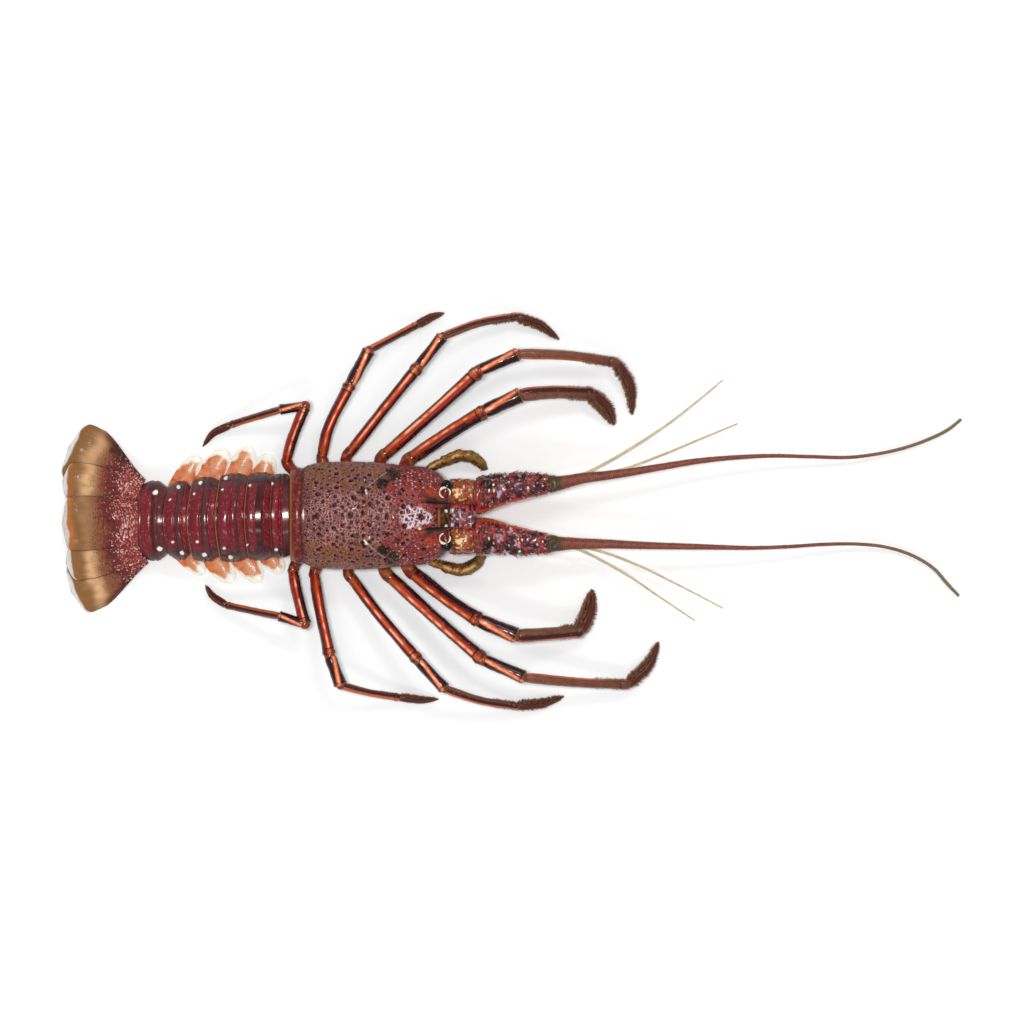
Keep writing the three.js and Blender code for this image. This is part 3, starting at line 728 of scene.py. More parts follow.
# Antenna stem: knobbly wet shell, crimson and plum with pale and black knobs; on the stem the cream and white are
# painted highlights and the black is partly painted shade.
KNOBBLY_SHELL = Finish(
    "Antenna stem cuticle, knobbly and wet",
    "#471413",
    "#84291f",
    1.8,
    layers=(
        ("amber", "#a05020"),
        # cream: painted highlights on the stem's base segment
        ("cream", "#f2cf9a"),
        ("plum", "#441c30"),
        ("rose", "#9c3034"),
        ("lilac", "#d2b4cc"),
        # black: on the stem, painted shade in its hollows and caves, and dark joint lines; dark patches elsewhere
        ("black", "#0e0809"),
        ("olive", "#43351c"),
        ("strip", "#cc4a18"),
        # white: painted highlights on the stem's knob tops, and white mottles on the antennular plate
        ("white", "#fff4ec"),
    ),
    flecks=(("#1a080b", 1.7, 0.44), ("#e39a8c", 1.9, 0.3)),
    under=4,
    rough=(0.16, 0.32),
    coat=0.5,
    grain=0.5,
    depth=0.16,
    gleam="#f0c8c0",
)
# Lash of the antenna: horny rings, brick brown and dry, greyer at the tip.
LASH_HORN = Finish(
    "Antenna lash, horny rings",
    "#753427",
    "#9c5038",
    2.0,
    layers=(("tip", "#7f6c4c"), ("olive", "#4c3d22"), ("groove", "#40190f")),
    rough=(0.45, 0.6),
    coat=0.05,
    grain=0.5,
    depth=0.05,
)
# Fine whip: straw-coloured horn thread.
STRAW_HORN = Finish(
    "Antennule whip, straw horn",
    "#cbb083",
    "#e3d6b0",
    4.0,
    layers=(("groove", "#b3976b"),),
    rough=(0.45, 0.6),
    coat=0.1,
)
# Feeler: golden-brown shell, hairy, with pale ridges.
FEELER_SHELL = Finish(
    "Feeler cuticle, golden and hairy",
    "#5a3010",
    "#c48438",
    1.4,
    layers=(("olive", "#86642a"), ("cream", "#f4cf94"), ("black", "#24120a")),
    rough=(0.6, 0.8),
    coat=0.0,
    grain=0.5,
    depth=0.3,
    bend=1.35,
)
# Under the body: pale soft-edged plates, satin.
BELLY_SHELL = Finish(
    "Belly cuticle, pale and satin",
    "#b58e72",
    "#d8bb9c",
    4.0,
    layers=(("rust", "#9c5238"),),
    rough=(0.35, 0.5),
    coat=0.25,
    milky=0.1,
)
# Eye: black facets under a clear wet cornea.
EYE_GLASS = Finish(
    "Cornea, black and wet",
    "#050406",
    "#120c0e",
    1.0,
    rough=(0.05, 0.09),
    coat=0.3,
    grain=0.3,
    depth=0.01,
    bend=1.36,
)
# Pale ring beside the eye: a painted highlight, made as pale shell.
PALE_RING_HIGHLIGHT = Finish(
    "Pale ring, painted highlight",
    "#e8d2ac",
    "#fbf1dc",
    1.5,
    rough=(0.25, 0.35),
    coat=0.5,
    milky=0.1,
)
# Spines of the back: short dark maroon horn, polished, so each one shows a small white glint.
DARK_HORN = Finish(
    "Spine horn, dark and polished",
    "#1f0709",
    "#3c1012",
    1.5,
    layers=(("tip", "#5c2a26"),),
    rough=(0.12, 0.22),
    coat=0.8,
)
# Spines of the antennae: horn that turns pale orange at its point.
SPINE_HORN = Finish(
    "Spine horn, pale tipped",
    "#2c0c10",
    "#5a2020",
    1.5,
    layers=(("tip", "#d0a08c"),),
    rough=(0.15, 0.3),
    coat=0.5,
)
# Bristles: stiff golden-brown hairs.
BRISTLE_HAIR = Finish(
    "Bristle, stiff hair",
    "#2c160c",
    "#5e341a",
    2.5,
    layers=(("tip", "#8c5c34"),),
    rough=(0.4, 0.6),
    coat=0.1,
)
# Granules: small hard grains, pale pink on top.
GRANULE_SHELL = Finish(
    "Cuticle granules, hard and pale",
    "#6a2f2b",
    "#8e4c40",
    2.0,
    layers=(("tip", "#c08474"),),
    rough=(0.25, 0.45),
    coat=0.4,
)


class Palette:
    """Builds each finish once and hands it out."""

    def __init__(self) -> None:
        """Starts with no material built."""
        self._built: dict[str, bpy.types.Material] = {}

    def of(self, finish: Finish) -> bpy.types.Material:
        """The material of a finish."""
        if finish.title not in self._built:
            self._built[finish.title] = finish.build()
        return self._built[finish.title]


PALETTE = Palette()


# ---------------------------------------------------------------- what repeats: Geometry Nodes


def new_tree(title: str, numbers: Sequence[tuple[str, str, float]]) -> tuple[bpy.types.NodeTree, bpy.types.Node]:
    """Starts a Geometry Nodes tree with named inputs.

    Args:
        title: Name of the tree.
        numbers: Each input's name, socket type and first value.

    Returns:
        The tree and its Group Input node.
    """
    tree = bpy.data.node_groups.new(title, "GeometryNodeTree")
    tree.interface.new_socket("Geometry", in_out="INPUT", socket_type="NodeSocketGeometry")
    for name, kind, value in numbers:
        tree.interface.new_socket(name, in_out="INPUT", socket_type=kind).default_value = value
    tree.interface.new_socket("Material", in_out="INPUT", socket_type="NodeSocketMaterial")
    tree.interface.new_socket("Geometry", in_out="OUTPUT", socket_type="NodeSocketGeometry")
    return tree, add(tree, "NodeGroupInput")


def end_tree(tree: bpy.types.NodeTree, shape: bpy.types.NodeSocket, material: bpy.types.NodeSocket) -> None:
    """Ends a tree in Realize Instances and Set Material, smooth shaded."""
    real = add(tree, "GeometryNodeRealizeInstances", {"Geometry": shape}).outputs[0]
    soft = add(tree, "GeometryNodeSetShadeSmooth", {"Geometry": real}).outputs[0]
    dressed = add(tree, "GeometryNodeSetMaterial", {"Geometry": soft, "Material": material}).outputs[0]
    add(tree, "NodeGroupOutput", {"Geometry": dressed})


def bake(
    name: str, mesh: bpy.types.Mesh, tree: bpy.types.NodeTree, inputs: dict[str, object]
) -> bpy.types.Object:
    """Runs a Geometry Nodes tree on a mesh and keeps the result as a plain mesh.

    Args:
        name: Name of the piece.
        mesh: What the tree starts from.
        tree: The tree.
        inputs: Values of its named inputs.

    Returns:
        A new object that holds the result, with no modifier.
    """
    carrier = bpy.data.objects.new(name + "_feet", mesh)
    bpy.context.scene.collection.objects.link(carrier)
    modifier = carrier.modifiers.new("Nodes", "NODES")
    modifier.node_group = tree
    for item in tree.interface.items_tree:
        if item.in_out == "INPUT" and item.name in inputs:
            modifier[item.identifier] = inputs[item.name]
    bpy.context.view_layer.update()
    graph = bpy.context.evaluated_depsgraph_get()
    made = bpy.data.meshes.new_from_object(
        carrier.evaluated_get(graph), preserve_all_data_layers=True, depsgraph=graph
    )
    made.name = name
    bpy.data.objects.remove(carrier)
    piece = bpy.data.objects.new(name, made)
    bpy.context.scene.collection.objects.link(piece)
    return piece


def feet_mesh(name: str, feet: Array, values: dict[str, Array]) -> bpy.types.Mesh:
    """A mesh of loose points that carry values.

    Args:
        name: Name of the mesh.
        feet: The points in millimetres in the body's frame.
        values: Numbers or directions at the points, by name.

    Returns:
        The mesh, in metres in the shared frame.
    """
    mesh = bpy.data.meshes.new(name)
    mesh.vertices.add(len(feet))
    mesh.vertices.foreach_set("co", ((feet + BODY_AT) * MM).astype(np.float32).ravel())
    for title, numbers in values.items():
        vector = numbers.ndim == 2
        layer = mesh.attributes.new(title, "FLOAT_VECTOR" if vector else "FLOAT", "POINT")
        layer.data.foreach_set("vector" if vector else "value", numbers.astype(np.float32).ravel())
    return mesh


class SpikeField:
    """Cones that stand on given feet: spines, granules and bristles."""

    def __init__(self) -> None:
        """Builds the tree that every field of spikes shares."""
        numbers = (
            ("Radius", "NodeSocketFloat", 0.001),
            ("Height", "NodeSocketFloat", 0.003),
            ("Blunt", "NodeSocketFloat", 0.1),
            ("Sides", "NodeSocketInt", 6),
            ("Stray", "NodeSocketFloat", 0.1),
            ("Uneven", "NodeSocketFloat", 0.2),
            ("Seed", "NodeSocketInt", 0),
        )
        self.tree, start = new_tree("Spikes on feet", numbers)
        tree, given = self.tree, start.outputs
        narrow = add(
            tree, "ShaderNodeMath", {0: given["Radius"], 1: given["Blunt"]}, operation="MULTIPLY"
        ).outputs[0]
        cone = add(
            tree,
            "GeometryNodeMeshCone",
            {
                "Vertices": given["Sides"],
                "Radius Top": narrow,
                "Radius Bottom": given["Radius"],
                "Depth": given["Height"],
            },
        ).outputs["Mesh"]
        spot = add(tree, "GeometryNodeInputPosition").outputs[0]
        level = add(tree, "ShaderNodeSeparateXYZ", {0: spot}).outputs["Z"]
        reach = add(tree, "ShaderNodeMath", {0: level, 1: given["Height"]}, operation="DIVIDE").outputs[0]
        share = add(tree, "ShaderNodeMath", {0: reach, 1: 2.5}, operation="POWER").outputs[0]
        marked = add(
            tree,
            "GeometryNodeStoreNamedAttribute",
            {"Geometry": cone, "Name": "tip", "Value": share},
            data_type="FLOAT",
            domain="POINT",
        ).outputs["Geometry"]
        lean = add(
            tree, "GeometryNodeInputNamedAttribute", {"Name": "lean"}, data_type="FLOAT_VECTOR"
        ).outputs["Attribute"]
        stray_out = add(
            tree, "ShaderNodeMath", {0: given["Stray"], 1: -1.0}, operation="MULTIPLY"
        ).outputs[0]
        shift = add(
            tree,
            "FunctionNodeRandomValue",
            {"Min": stray_out, "Max": given["Stray"], "Seed": given["Seed"]},
            data_type="FLOAT_VECTOR",
        ).outputs["Value"]
        turned = add(tree, "ShaderNodeVectorMath", {0: lean, 1: shift}, operation="ADD").outputs[0]
        facing = add(tree, "FunctionNodeAlignRotationToVector", {"Vector": turned}, axis="Z").outputs[0]
        size = add(
            tree, "GeometryNodeInputNamedAttribute", {"Name": "size"}, data_type="FLOAT"
        ).outputs["Attribute"]
        least = add(tree, "ShaderNodeMath", {0: 1.0, 1: given["Uneven"]}, operation="SUBTRACT").outputs[0]
        lot = add(
            tree,
            "FunctionNodeRandomValue",
            {2: least, 3: 1.0, "Seed": given["Seed"]},
            data_type="FLOAT",
        ).outputs[1]
        scale = add(tree, "ShaderNodeMath", {0: size, 1: lot}, operation="MULTIPLY").outputs[0]
        planted = add(
            tree,
            "GeometryNodeInstanceOnPoints",
            {"Points": given["Geometry"], "Instance": marked, "Rotation": facing, "Scale": scale},
        ).outputs["Instances"]
        end_tree(tree, planted, given["Material"])

    def grow(
        self,
        name: str,
        feet: Array,
        lean: Array,
        size: Array,
        finish: Finish,
        radius: float,
        height: float,
        *,
        blunt: float = 0.08,
        sides: int = 6,
        stray: float = 0.1,
        uneven: float = 0.25,
        seed: int = 1,
    ) -> bpy.types.Object:
        """Grows one field of spikes.

        Args:
            name: Name of the piece.
            feet: Where the spikes stand, in millimetres.
            lean: Which way each one points.
            size: How large each one is, next to radius and height.
            finish: Its finish.
            radius: Radius of a spike's foot in millimetres.
            height: Height of a spike in millimetres.
            blunt: Radius of its top over that of its foot.
            sides: How many sides it has.
            stray: How far its direction strays, next to a unit direction.
            uneven: How much smaller the smallest may be, as a share.
            seed: Which draw.

        Returns:
            The piece.
        """
        inputs = {
            "Radius": radius * MM,
            "Height": height * MM,
            "Blunt": blunt,
            "Sides": sides,
            "Stray": stray,
            "Uneven": uneven,
            "Seed": seed,
            "Material": PALETTE.of(finish),
        }
        mesh = feet_mesh(name + "_feet", feet, {"lean": lean, "size": size})
        return bake(name, mesh, self.tree, inputs)


class Lash:
    """A ringed thread that follows a path: the antennae and the antennules' whips."""

    def __init__(self) -> None:
        """Builds the tree that every lash shares."""
        numbers = (
            ("Pitch", "NodeSocketFloat", 0.001),
            ("Depth", "NodeSocketFloat", 0.1),
            ("Steps", "NodeSocketFloat", 4.0),
            ("Sides", "NodeSocketInt", 10),
        )
        self.tree, start = new_tree("Ringed lash along a path", numbers)
        tree, given = self.tree, start.outputs
        line = add(tree, "GeometryNodeMeshToCurve", {"Mesh": given["Geometry"]}).outputs["Curve"]
        step = add(tree, "ShaderNodeMath", {0: given["Pitch"], 1: given["Steps"]}, operation="DIVIDE").outputs[0]
        even = add(
            tree, "GeometryNodeResampleCurve", {"Curve": line, "Length": step}, mode="LENGTH"
        ).outputs["Curve"]
        run = add(tree, "GeometryNodeSplineParameter").outputs["Length"]
        rings = add(tree, "ShaderNodeMath", {0: run, 1: given["Pitch"]}, operation="DIVIDE").outputs[0]
        share = add(tree, "ShaderNodeMath", {0: rings}, operation="FRACT").outputs[0]
        swing = add(tree, "ShaderNodeMath", {0: share, 1: 0.5}, operation="PINGPONG").outputs[0]
        groove = add(
            tree,
            "ShaderNodeMapRange",
            {"Value": swing, "From Min": 0.0, "From Max": 0.26, "To Min": 1.0, "To Max": 0.0},
        ).outputs["Result"]
        girth = add(
            tree, "GeometryNodeInputNamedAttribute", {"Name": "girth"}, data_type="FLOAT"
        ).outputs["Attribute"]
        cut = add(tree, "ShaderNodeMath", {0: groove, 1: given["Depth"]}, operation="MULTIPLY").outputs[0]
        left = add(tree, "ShaderNodeMath", {0: 1.0, 1: cut}, operation="SUBTRACT").outputs[0]
        thick = add(tree, "ShaderNodeMath", {0: girth, 1: left}, operation="MULTIPLY").outputs[0]
        marked = add(
            tree,
            "GeometryNodeStoreNamedAttribute",
            {"Geometry": even, "Name": "groove", "Value": groove},
            data_type="FLOAT",
            domain="POINT",
        ).outputs["Geometry"]
        ring = add(
            tree, "GeometryNodeCurvePrimitiveCircle", {"Resolution": given["Sides"], "Radius": 1.0}
        ).outputs["Curve"]
        wall = add(
            tree,
            "GeometryNodeCurveToMesh",
            {"Curve": marked, "Profile Curve": ring, "Scale": thick, "Fill Caps": True},
        ).outputs["Mesh"]
        end_tree(tree, wall, given["Material"])

    def draw_out(
        self,
        name: str,
        path: Array,
        girth: Array,
        marks: dict[str, Array],
        finish: Finish,
        *,
        pitch: float,
        depth: float,
        steps: float = 4.0,
        sides: int = 10,
    ) -> bpy.types.Object:
        """Draws one lash out along a path.

        Args:
            name: Name of the piece.
            path: Its middle line in millimetres.
            girth: Half thickness at each point in millimetres.
            marks: Marks at each point that its finish reads.
            finish: Its finish.
            pitch: Length of one ring in millimetres.
            depth: Depth of the groove between rings, as a share of the half thickness.
            steps: Cross sections in one ring.
            sides: Corners round a cross section.

        Returns:
            The piece.
        """
        mesh = feet_mesh(name + "_path", path, {"girth": girth * MM, **marks})
        mesh.edges.add(len(path) - 1)
        ends = np.stack([np.arange(len(path) - 1), np.arange(1, len(path))], axis=-1)
        mesh.edges.foreach_set("vertices", ends.astype(np.int32).ravel())
        inputs = {
            "Pitch": pitch * MM,
            "Depth": depth,
            "Steps": steps,
            "Sides": sides,
            "Material": PALETTE.of(finish),
        }
        return bake(name, mesh, self.tree, inputs)


SPIKES = SpikeField()
LASH = Lash()


def join(name: str, pieces: Sequence[bpy.types.Object]) -> bpy.types.Object:
    """Joins mesh objects into one.

    Args:
        name: Name of the joined piece.
        pieces: The objects, the first of which stays.

    Returns:
        The joined object.
    """
    with bpy.context.temp_override(active_object=pieces[0], selected_editable_objects=list(pieces)):
        bpy.ops.object.join()
    pieces[0].name = name
    pieces[0].data.name = name
    return pieces[0]


# ---------------------------------------------------------------- carapace


@dataclass
class Carapace:
    """The shield over head and thorax, with its spines, granules, horns and eye sockets.

    Attributes:
        rows: Station, half width and height of the back.
        waist: Height of the widest line.
        edge: Height of the free lower edge.
        drop: How far the side would curve in below the waist.
        square: Superellipse exponent of the section.
        rings: Rings of the skin.
        around: Corners round the skin.
        arc: Radius that turns an angle round the back into a length.
    """

    rows: tuple[Point, ...] = (
        (0, 28.8, 44.5),
        (3.5, 30.1, 46.6),
        (7.5, 31.3, 47.4),
        (9.5, 31.6, 46.6),
        (13, 33.0, 49.6),
        (22, 34.3, 52.2),
        (36, 34.7, 53.8),
        (50, 34.6, 54.2),
        (68, 33.1, 53.2),
        (80, 32.0, 51.4),
        (88, 31.0, 49.6),
        (94, 28.2, 48.0),
        (98.5, 24.6, 45.8),
        (102.5, 20.0, 41.5),
    )
    waist: float = 27
    edge: float = 12
    drop: float = 22
    square: float = 2.25
    rings: int = 240
    around: int = 384
    arc: float = 33.0
    spine_rows: int = 7
    pits: Net = Net(4.6, 11.0, 0.6)
    grains: Net = Net(2.15, 5.0, 0.85)

    def groove(self, x: Array, angle: Array) -> Array:
        """Depth of the neck groove: across the middle, then forwards and outwards to each side."""
        swing = np.maximum(0, np.abs(angle) - 0.5)
        off = (x - (49 + 26 * swing)) / 2.4
        return 1.6 * np.exp(-off * off) * (1 - smooth((np.abs(angle) - 1.1) / 0.3))

    def point(self, x: Array, angle: Array) -> Array:
        """A point of the outside at a station and an angle from the top."""
        x, angle = np.broadcast_arrays(np.asarray(x, float), np.asarray(angle, float))
        half = along(self.rows, x, 1) - self.groove(x, angle) * 0.5
        back = along(self.rows, x, 2) - self.groove(x, angle)
        y = half * power(-np.sin(angle), 2 / self.square)
        lift = power(np.cos(angle), 2 / self.square)
        z = self.waist + lift * np.where(lift > 0, back - self.waist, self.drop)
        brow = 5.5 * smooth((x - 86) / 16.5) * np.exp(-((angle / 0.34) ** 2))
        return np.stack([x - brow, y, np.maximum(z, self.edge)], axis=-1)

    def spines(self) -> tuple[Array, Array, Array]:
        """The main spines.

        Returns:
            Their stations, their angles from the top and their sizes.
        """
        stations, angles, sizes = [], [], []
        for row in range(self.spine_rows):
            x = 18 + row * 11.2
            step = 11.5 / float(along(self.rows, x, 1))
            for k in range(-3, 4):
                n = row * 7 + k + 3
                angle = (k + (0.5 if row % 2 else 0)) * step + float(draw(n) - 0.5) * 0.08
                if abs(angle) > 1.15:
                    continue
                stations.append(x + float(draw(n + 200) - 0.5) * 2.4)
                angles.append(angle)
                sizes.append(mix(0.7, 1.15, float(draw(n + 400))) * mix(0.9, 1.3, row / 7))
        return np.array(stations), np.array(angles), np.array(sizes)

    def shell(self) -> Skin:
        """The shell's own skin, with its relief and its marks."""
        q = np.linspace(-1, 1, self.around, endpoint=False)
        angles = np.sign(q) * np.interp(np.abs(q), [0, 0.9, 1], [0, 1.95, math.pi])
        stations = np.linspace(0, 102.5, self.rings)
        x, angle = np.meshgrid(stations, angles, indexing="ij")
        points = self.point(x, angle)
        arc = angle * self.arc
        y = points[..., 1]
        body = smooth((x - 8.6) / 2.2) * (1 - smooth((x - 99) / 3))
        haze = cloud(points, 9.0, 2.0)
        fuzz = cloud(points, 3.2, 6.0)
        fore = smooth((x - 52 + 16 * (haze - 0.5) - 0.25 * np.abs(y)) / 9)
        # Main spines sit in dark moats; small dark pits lie between them, and grains everywhere. The dark of moats and
        # pits is partly the shell's own colour and partly painted shade at the spines' feet.
        at, turn, size = self.spines()
        moat, moat_ring = np.zeros(x.shape), np.zeros(x.shape)
        for i in range(len(at)):
            gap = np.hypot(x - at[i], arc - turn[i] * self.arc) / (1.15 + 0.5 * size[i])
            moat = np.maximum(moat, 1 - smooth((gap - 0.8) / 0.35))
            moat_ring = np.maximum(moat_ring, hump(gap, 1.35, 0.22))
        pit_gap, _, pit_lot = self.pits.read(x, arc)
        pit_size = mix(0.6, 1.3, pit_lot) * mix(1.0, 0.85, fore)
        pit = (1 - smooth((pit_gap / pit_size - 0.75) / 0.5)) * (1 - moat)
        ring = hump(pit_gap / pit_size, 1.45, 0.3) * (1 - moat)
        halo = np.clip(moat_ring * 0.6 + 0.35 * ring, 0, 1)
        grain_gap, _, grain_lot = self.grains.read(x, arc)
        dome = np.clip(1 - (grain_gap / 0.95) ** 2, 0, 1) * mix(0.5, 1.0, grain_lot)
        ridge = hump(x, 50.0 + 3.0 * (fuzz - 0.5), 0.7) * band(y, -18, 15.5, 2.0)
        across = 49 + 26 * np.maximum(0, np.abs(angle) - 0.5)
        crease = hump(x, across + 1.2, 0.6) * band(np.abs(angle), 0.5, 1.0, 0.15)
        relief = body * (0.3 * dome - 0.3 * pit + 0.15 * ring - 0.2 * moat) + 0.7 * ridge
        relief += 0.9 * hump(x, 3.7, 2.2) - 0.7 * hump(x, 7.7, 0.8) + 0.5 * hump(x, 0.4, 0.7)
        relief += body * 0.35 * (fuzz - 0.5)
        # Colour fields, by where they lie on the back.
        middle = np.abs(y + 1.3)
        rear_rim = 1 - smooth((x - 7.0) / 0.9)
        narrowing = 8 - (x - 72) * 0.3 - 3 * (fuzz - 0.5)
        tongue = band(x + 5 * (haze - 0.5), 73, 95, 5) * (1 - smooth((middle - narrowing) / 2.6))
        cheek = band(np.abs(y + 1), 17.5, 31, 3.5) * band(x, 68, 97, 6)
        pearl_gap, _, pearl_lot = Net(2.5, 21.0, 0.5).read(x, arc)
        pearls = (1 - smooth((pearl_gap - 0.3) / 0.3)) * (pearl_lot > 0.55) * cheek
        corner_pits = ((60.2, 21.4, 3.6), (66.9, 27.2, 4.2), (60.9, -22.7, 3.6), (67.4, -27.2, 4.2))
        corner_pits += ((47.6, 16.2, 1.8), (48.4, -18.2, 2.0))
        brow_pits = ((69.6, 3.6, 1.4), (69.6, -6.8, 1.4), (69.6, -15.9, 1.8), (71, 14.5, 1.6))
        bruises = ((44, 24.0, 2.6), (50, 23.2, 2.8), (50, -24.8, 3.0), (55, -26.0, 2.6), (30, 8, 2.4))
        blobs = ((84.5, 4.9, 0.9), (84.2, -7.5, 0.9), (49.7, 14.9, 0.9), (50.1, -17.2, 0.9), (51, -14.6, 0.6))
        embers = ((91.5, 14.4, 3.0), (91.5, -16.4, 3.0), (97, 16.5, 2.0), (97, -18.5, 2.0), (78, 16, 1.6))
        # Patches have ragged outlines, so they are read at places that stray with the noise.
        astray_x, astray_y = x + 3.2 * (fuzz - 0.5), y + 3.2 * (cloud(points, 2.4, 8.0) - 0.5)
        black = np.maximum(blots(astray_x, astray_y, corner_pits, 0.9), 0.8 * blots(x, y, brow_pits, 1.2))
        # The short pale streak on the midline, just ahead of the rear groove, is a painted highlight.
        streak = blots(x, 5 * (y - 0.4), ((8.9, 0, 1.2),), 1.0) + blots(8 * x, y, ((71.2, 0.5, 3.4),), 0.6)
        fresh = cloud(points, 6.0, 4.0)
        marks = {
            "warm": body * (1 - fore) * smooth((np.abs(y) - 13) / 8) * mix(0.7, 1.0, haze),
            "halo": body * halo * mix(0.4, 1.0, fuzz) * (1 - 0.5 * fore),
            "crimson": body * np.maximum(fore * mix(0.5, 1.0, fuzz), cheek),
            "plum": body * np.clip(0.85 * blots(x, y, bruises, 1.4) + 0.45 * smooth((0.3 - fuzz) / 0.1), 0, 1),
            "lace": body
            * mix(0.2, 1.0, smooth(fresh))
            * (1 - 0.5 * fore)
            * (1 - 0.6 * smooth((np.abs(y) - 12) / 10))
            * (1 - moat)
            * (1 - 0.8 * pit),
            "lilac": np.clip(tongue * 1.1, 0, 1) * (1 - moat),
            # pit: dark spots at the spines' feet, partly painted shade, and painted shade along the rear groove
            "pit": np.clip(body * np.maximum(0.92 * pit, 0.97 * moat) + hump(x, 7.7, 0.6), 0, 1),
            "rim": rear_rim,
            "gold": np.clip(
                np.maximum(rear_rim * (1 - smooth((x - 0.9) / 0.8)), 0.7 * ridge)
                + 0.55 * rear_rim * smooth((cloud(points, 1.1, 14.0) - 0.56) / 0.12),
                0,
                1,
            ),
            "ember": 0.9 * blots(astray_x, astray_y, embers, 1.2),
            "black": np.clip(black * mix(0.8, 1.2, fuzz), 0, 1),
            # cream: pale spots and pearls, the painted highlight streak, and a pale line along the neck groove
            "cream": np.clip(
                blots(astray_x, astray_y, blobs, 1.0) + 0.75 * pearls + 0.8 * streak + 0.3 * crease, 0, 1
            ),
        }
        return Skin(raised(points, relief), marks)

    def horn(self, side: int) -> Skin:
        """One horn of the brow: painted shade darkens its inner side, orange-red on its outer."""
        t = 1 - (1 - np.linspace(0, 1, 40)) ** 1.5
        foot, tip = np.array([84, 11.6 * side, 47.0]), np.array([105.5, 7.6 * side, 54.8])
        path = foot + (tip - foot) * t[:, None]
        path[:, 2] += 1.6 * (t * t - t) * 2
        angles = ring_angles(36)
        points = tube(path, 3.7 * (1 - t) ** 0.85 + 0.12, angles, 0.9)
        inner = np.sin(angles)[None, :] * side
        haze = cloud(points, 2.0, 17.0)
        # The dark streak along the inner side is painted shade.
        streak = smooth((t[:, None] - 0.12) / 0.2) * smooth((inner + 0.75 - 0.6 * (haze - 0.5)) / 0.5)
        marks = {
            "black": streak,
            "crimson": 0.9 * (1 - streak) * mix(0.6, 1.0, haze),
            "ember": 0.4 * (1 - streak) * haze,
        }
        return Skin(points, marks)

    def brow_plate(self) -> list[Skin]:
        """The pale bar at the brow and the mottled plate that slopes down in front of it."""
        angles = ring_angles(28)
        y = np.linspace(-8.2, 4.0, 30)
        bar = np.stack([np.full(30, 96.4), y, 45.6 - 0.03 * (y + 2) ** 2], axis=-1)
        bar_skin = Skin(
            tube(bar, np.full(30, 0.95), angles), {"gold": np.ones((30, 28)), "warm": np.ones((30, 28))}
        )
        run = np.linspace(0, 1, 40)
        path = np.stack([mix(95.5, 104.2, run), np.full(40, -2.0), mix(42.4, 35.0, run**1.3)], axis=-1)
        points = tube(path, np.full(40, 6.3), angles, 0.32, 0.7)
        haze = cloud(points, 1.5, 9.0)
        spots = ((101.0, 3.0, 1.0), (101.0, -7.2, 1.0))
        marks = {
            "warm": np.ones(haze.shape),
            "black": 0.9 * smooth((haze - 0.42) / 0.12),
            "gold": 0.5 * (1 - smooth((haze - 0.3) / 0.2)),
            "cream": blots(points[..., 0], points[..., 1], spots, 0.6),
        }
        return [bar_skin, Skin(raised(points, 0.5 * (haze - 0.5)), marks)]

    def grow(self) -> None:
        """Builds the shell, its spines and its grains."""
        skins = [self.shell(), self.horn(1), self.horn(-1), *self.brow_plate()]
        shell = make_object("carapace_shield", skins, [PALETTE.of(GRANULAR_SHELL)])
        settle(shell, "carapace", "carapace")
        at, turn, size = self.spines()
        lean = np.stack([np.full(at.shape, 0.6), -np.sin(turn), np.cos(turn)], axis=-1)
        feet = self.point(at, turn) - lean * 0.6
        spines = SPIKES.grow(
            "carapace_spines", feet, lean, 0.4 + 0.6 * size, DARK_HORN, 1.3, 3.2, sides=12, blunt=0.2, uneven=0.1
        )
        settle(spines, "carapace")
        u, v, lot = self.pits.spots((11, 96), (-46, 46))
        clear = np.min(np.hypot(u[:, None] - at, v[:, None] - turn * self.arc), axis=1) > 2.0
        u, v, lot = u[clear], v[clear], lot[clear]
        angle = v / self.arc
        lean = np.stack([np.full(u.shape, 0.9), -np.sin(angle), np.cos(angle)], axis=-1)
        knobs = SPIKES.grow(
            "carapace_prickles",
            self.point(u, angle) - lean * 0.35,
            lean,
            mix(0.55, 1.0, lot),
            DARK_HORN,
            0.6,
            1.3,
            sides=7,
            blunt=0.3,
            seed=5,
        )
        settle(knobs, "carapace")
        u, v, lot = self.grains.spots((10.5, 97), (-50, 50))
        angle = v / self.arc
        lean = np.stack([np.full(u.shape, 0.4), -np.sin(angle), np.cos(angle)], axis=-1)
        keep = lot > 0.35
        grains = SPIKES.grow(
            "carapace_grains",
            (self.point(u, angle) - lean * 0.12)[keep],
            lean[keep],
            mix(0.6, 1.15, lot)[keep],
            GRANULE_SHELL,
            0.42,
            0.55,
            sides=5,
            blunt=0.45,
            seed=9,
        )
        settle(grains, "carapace")


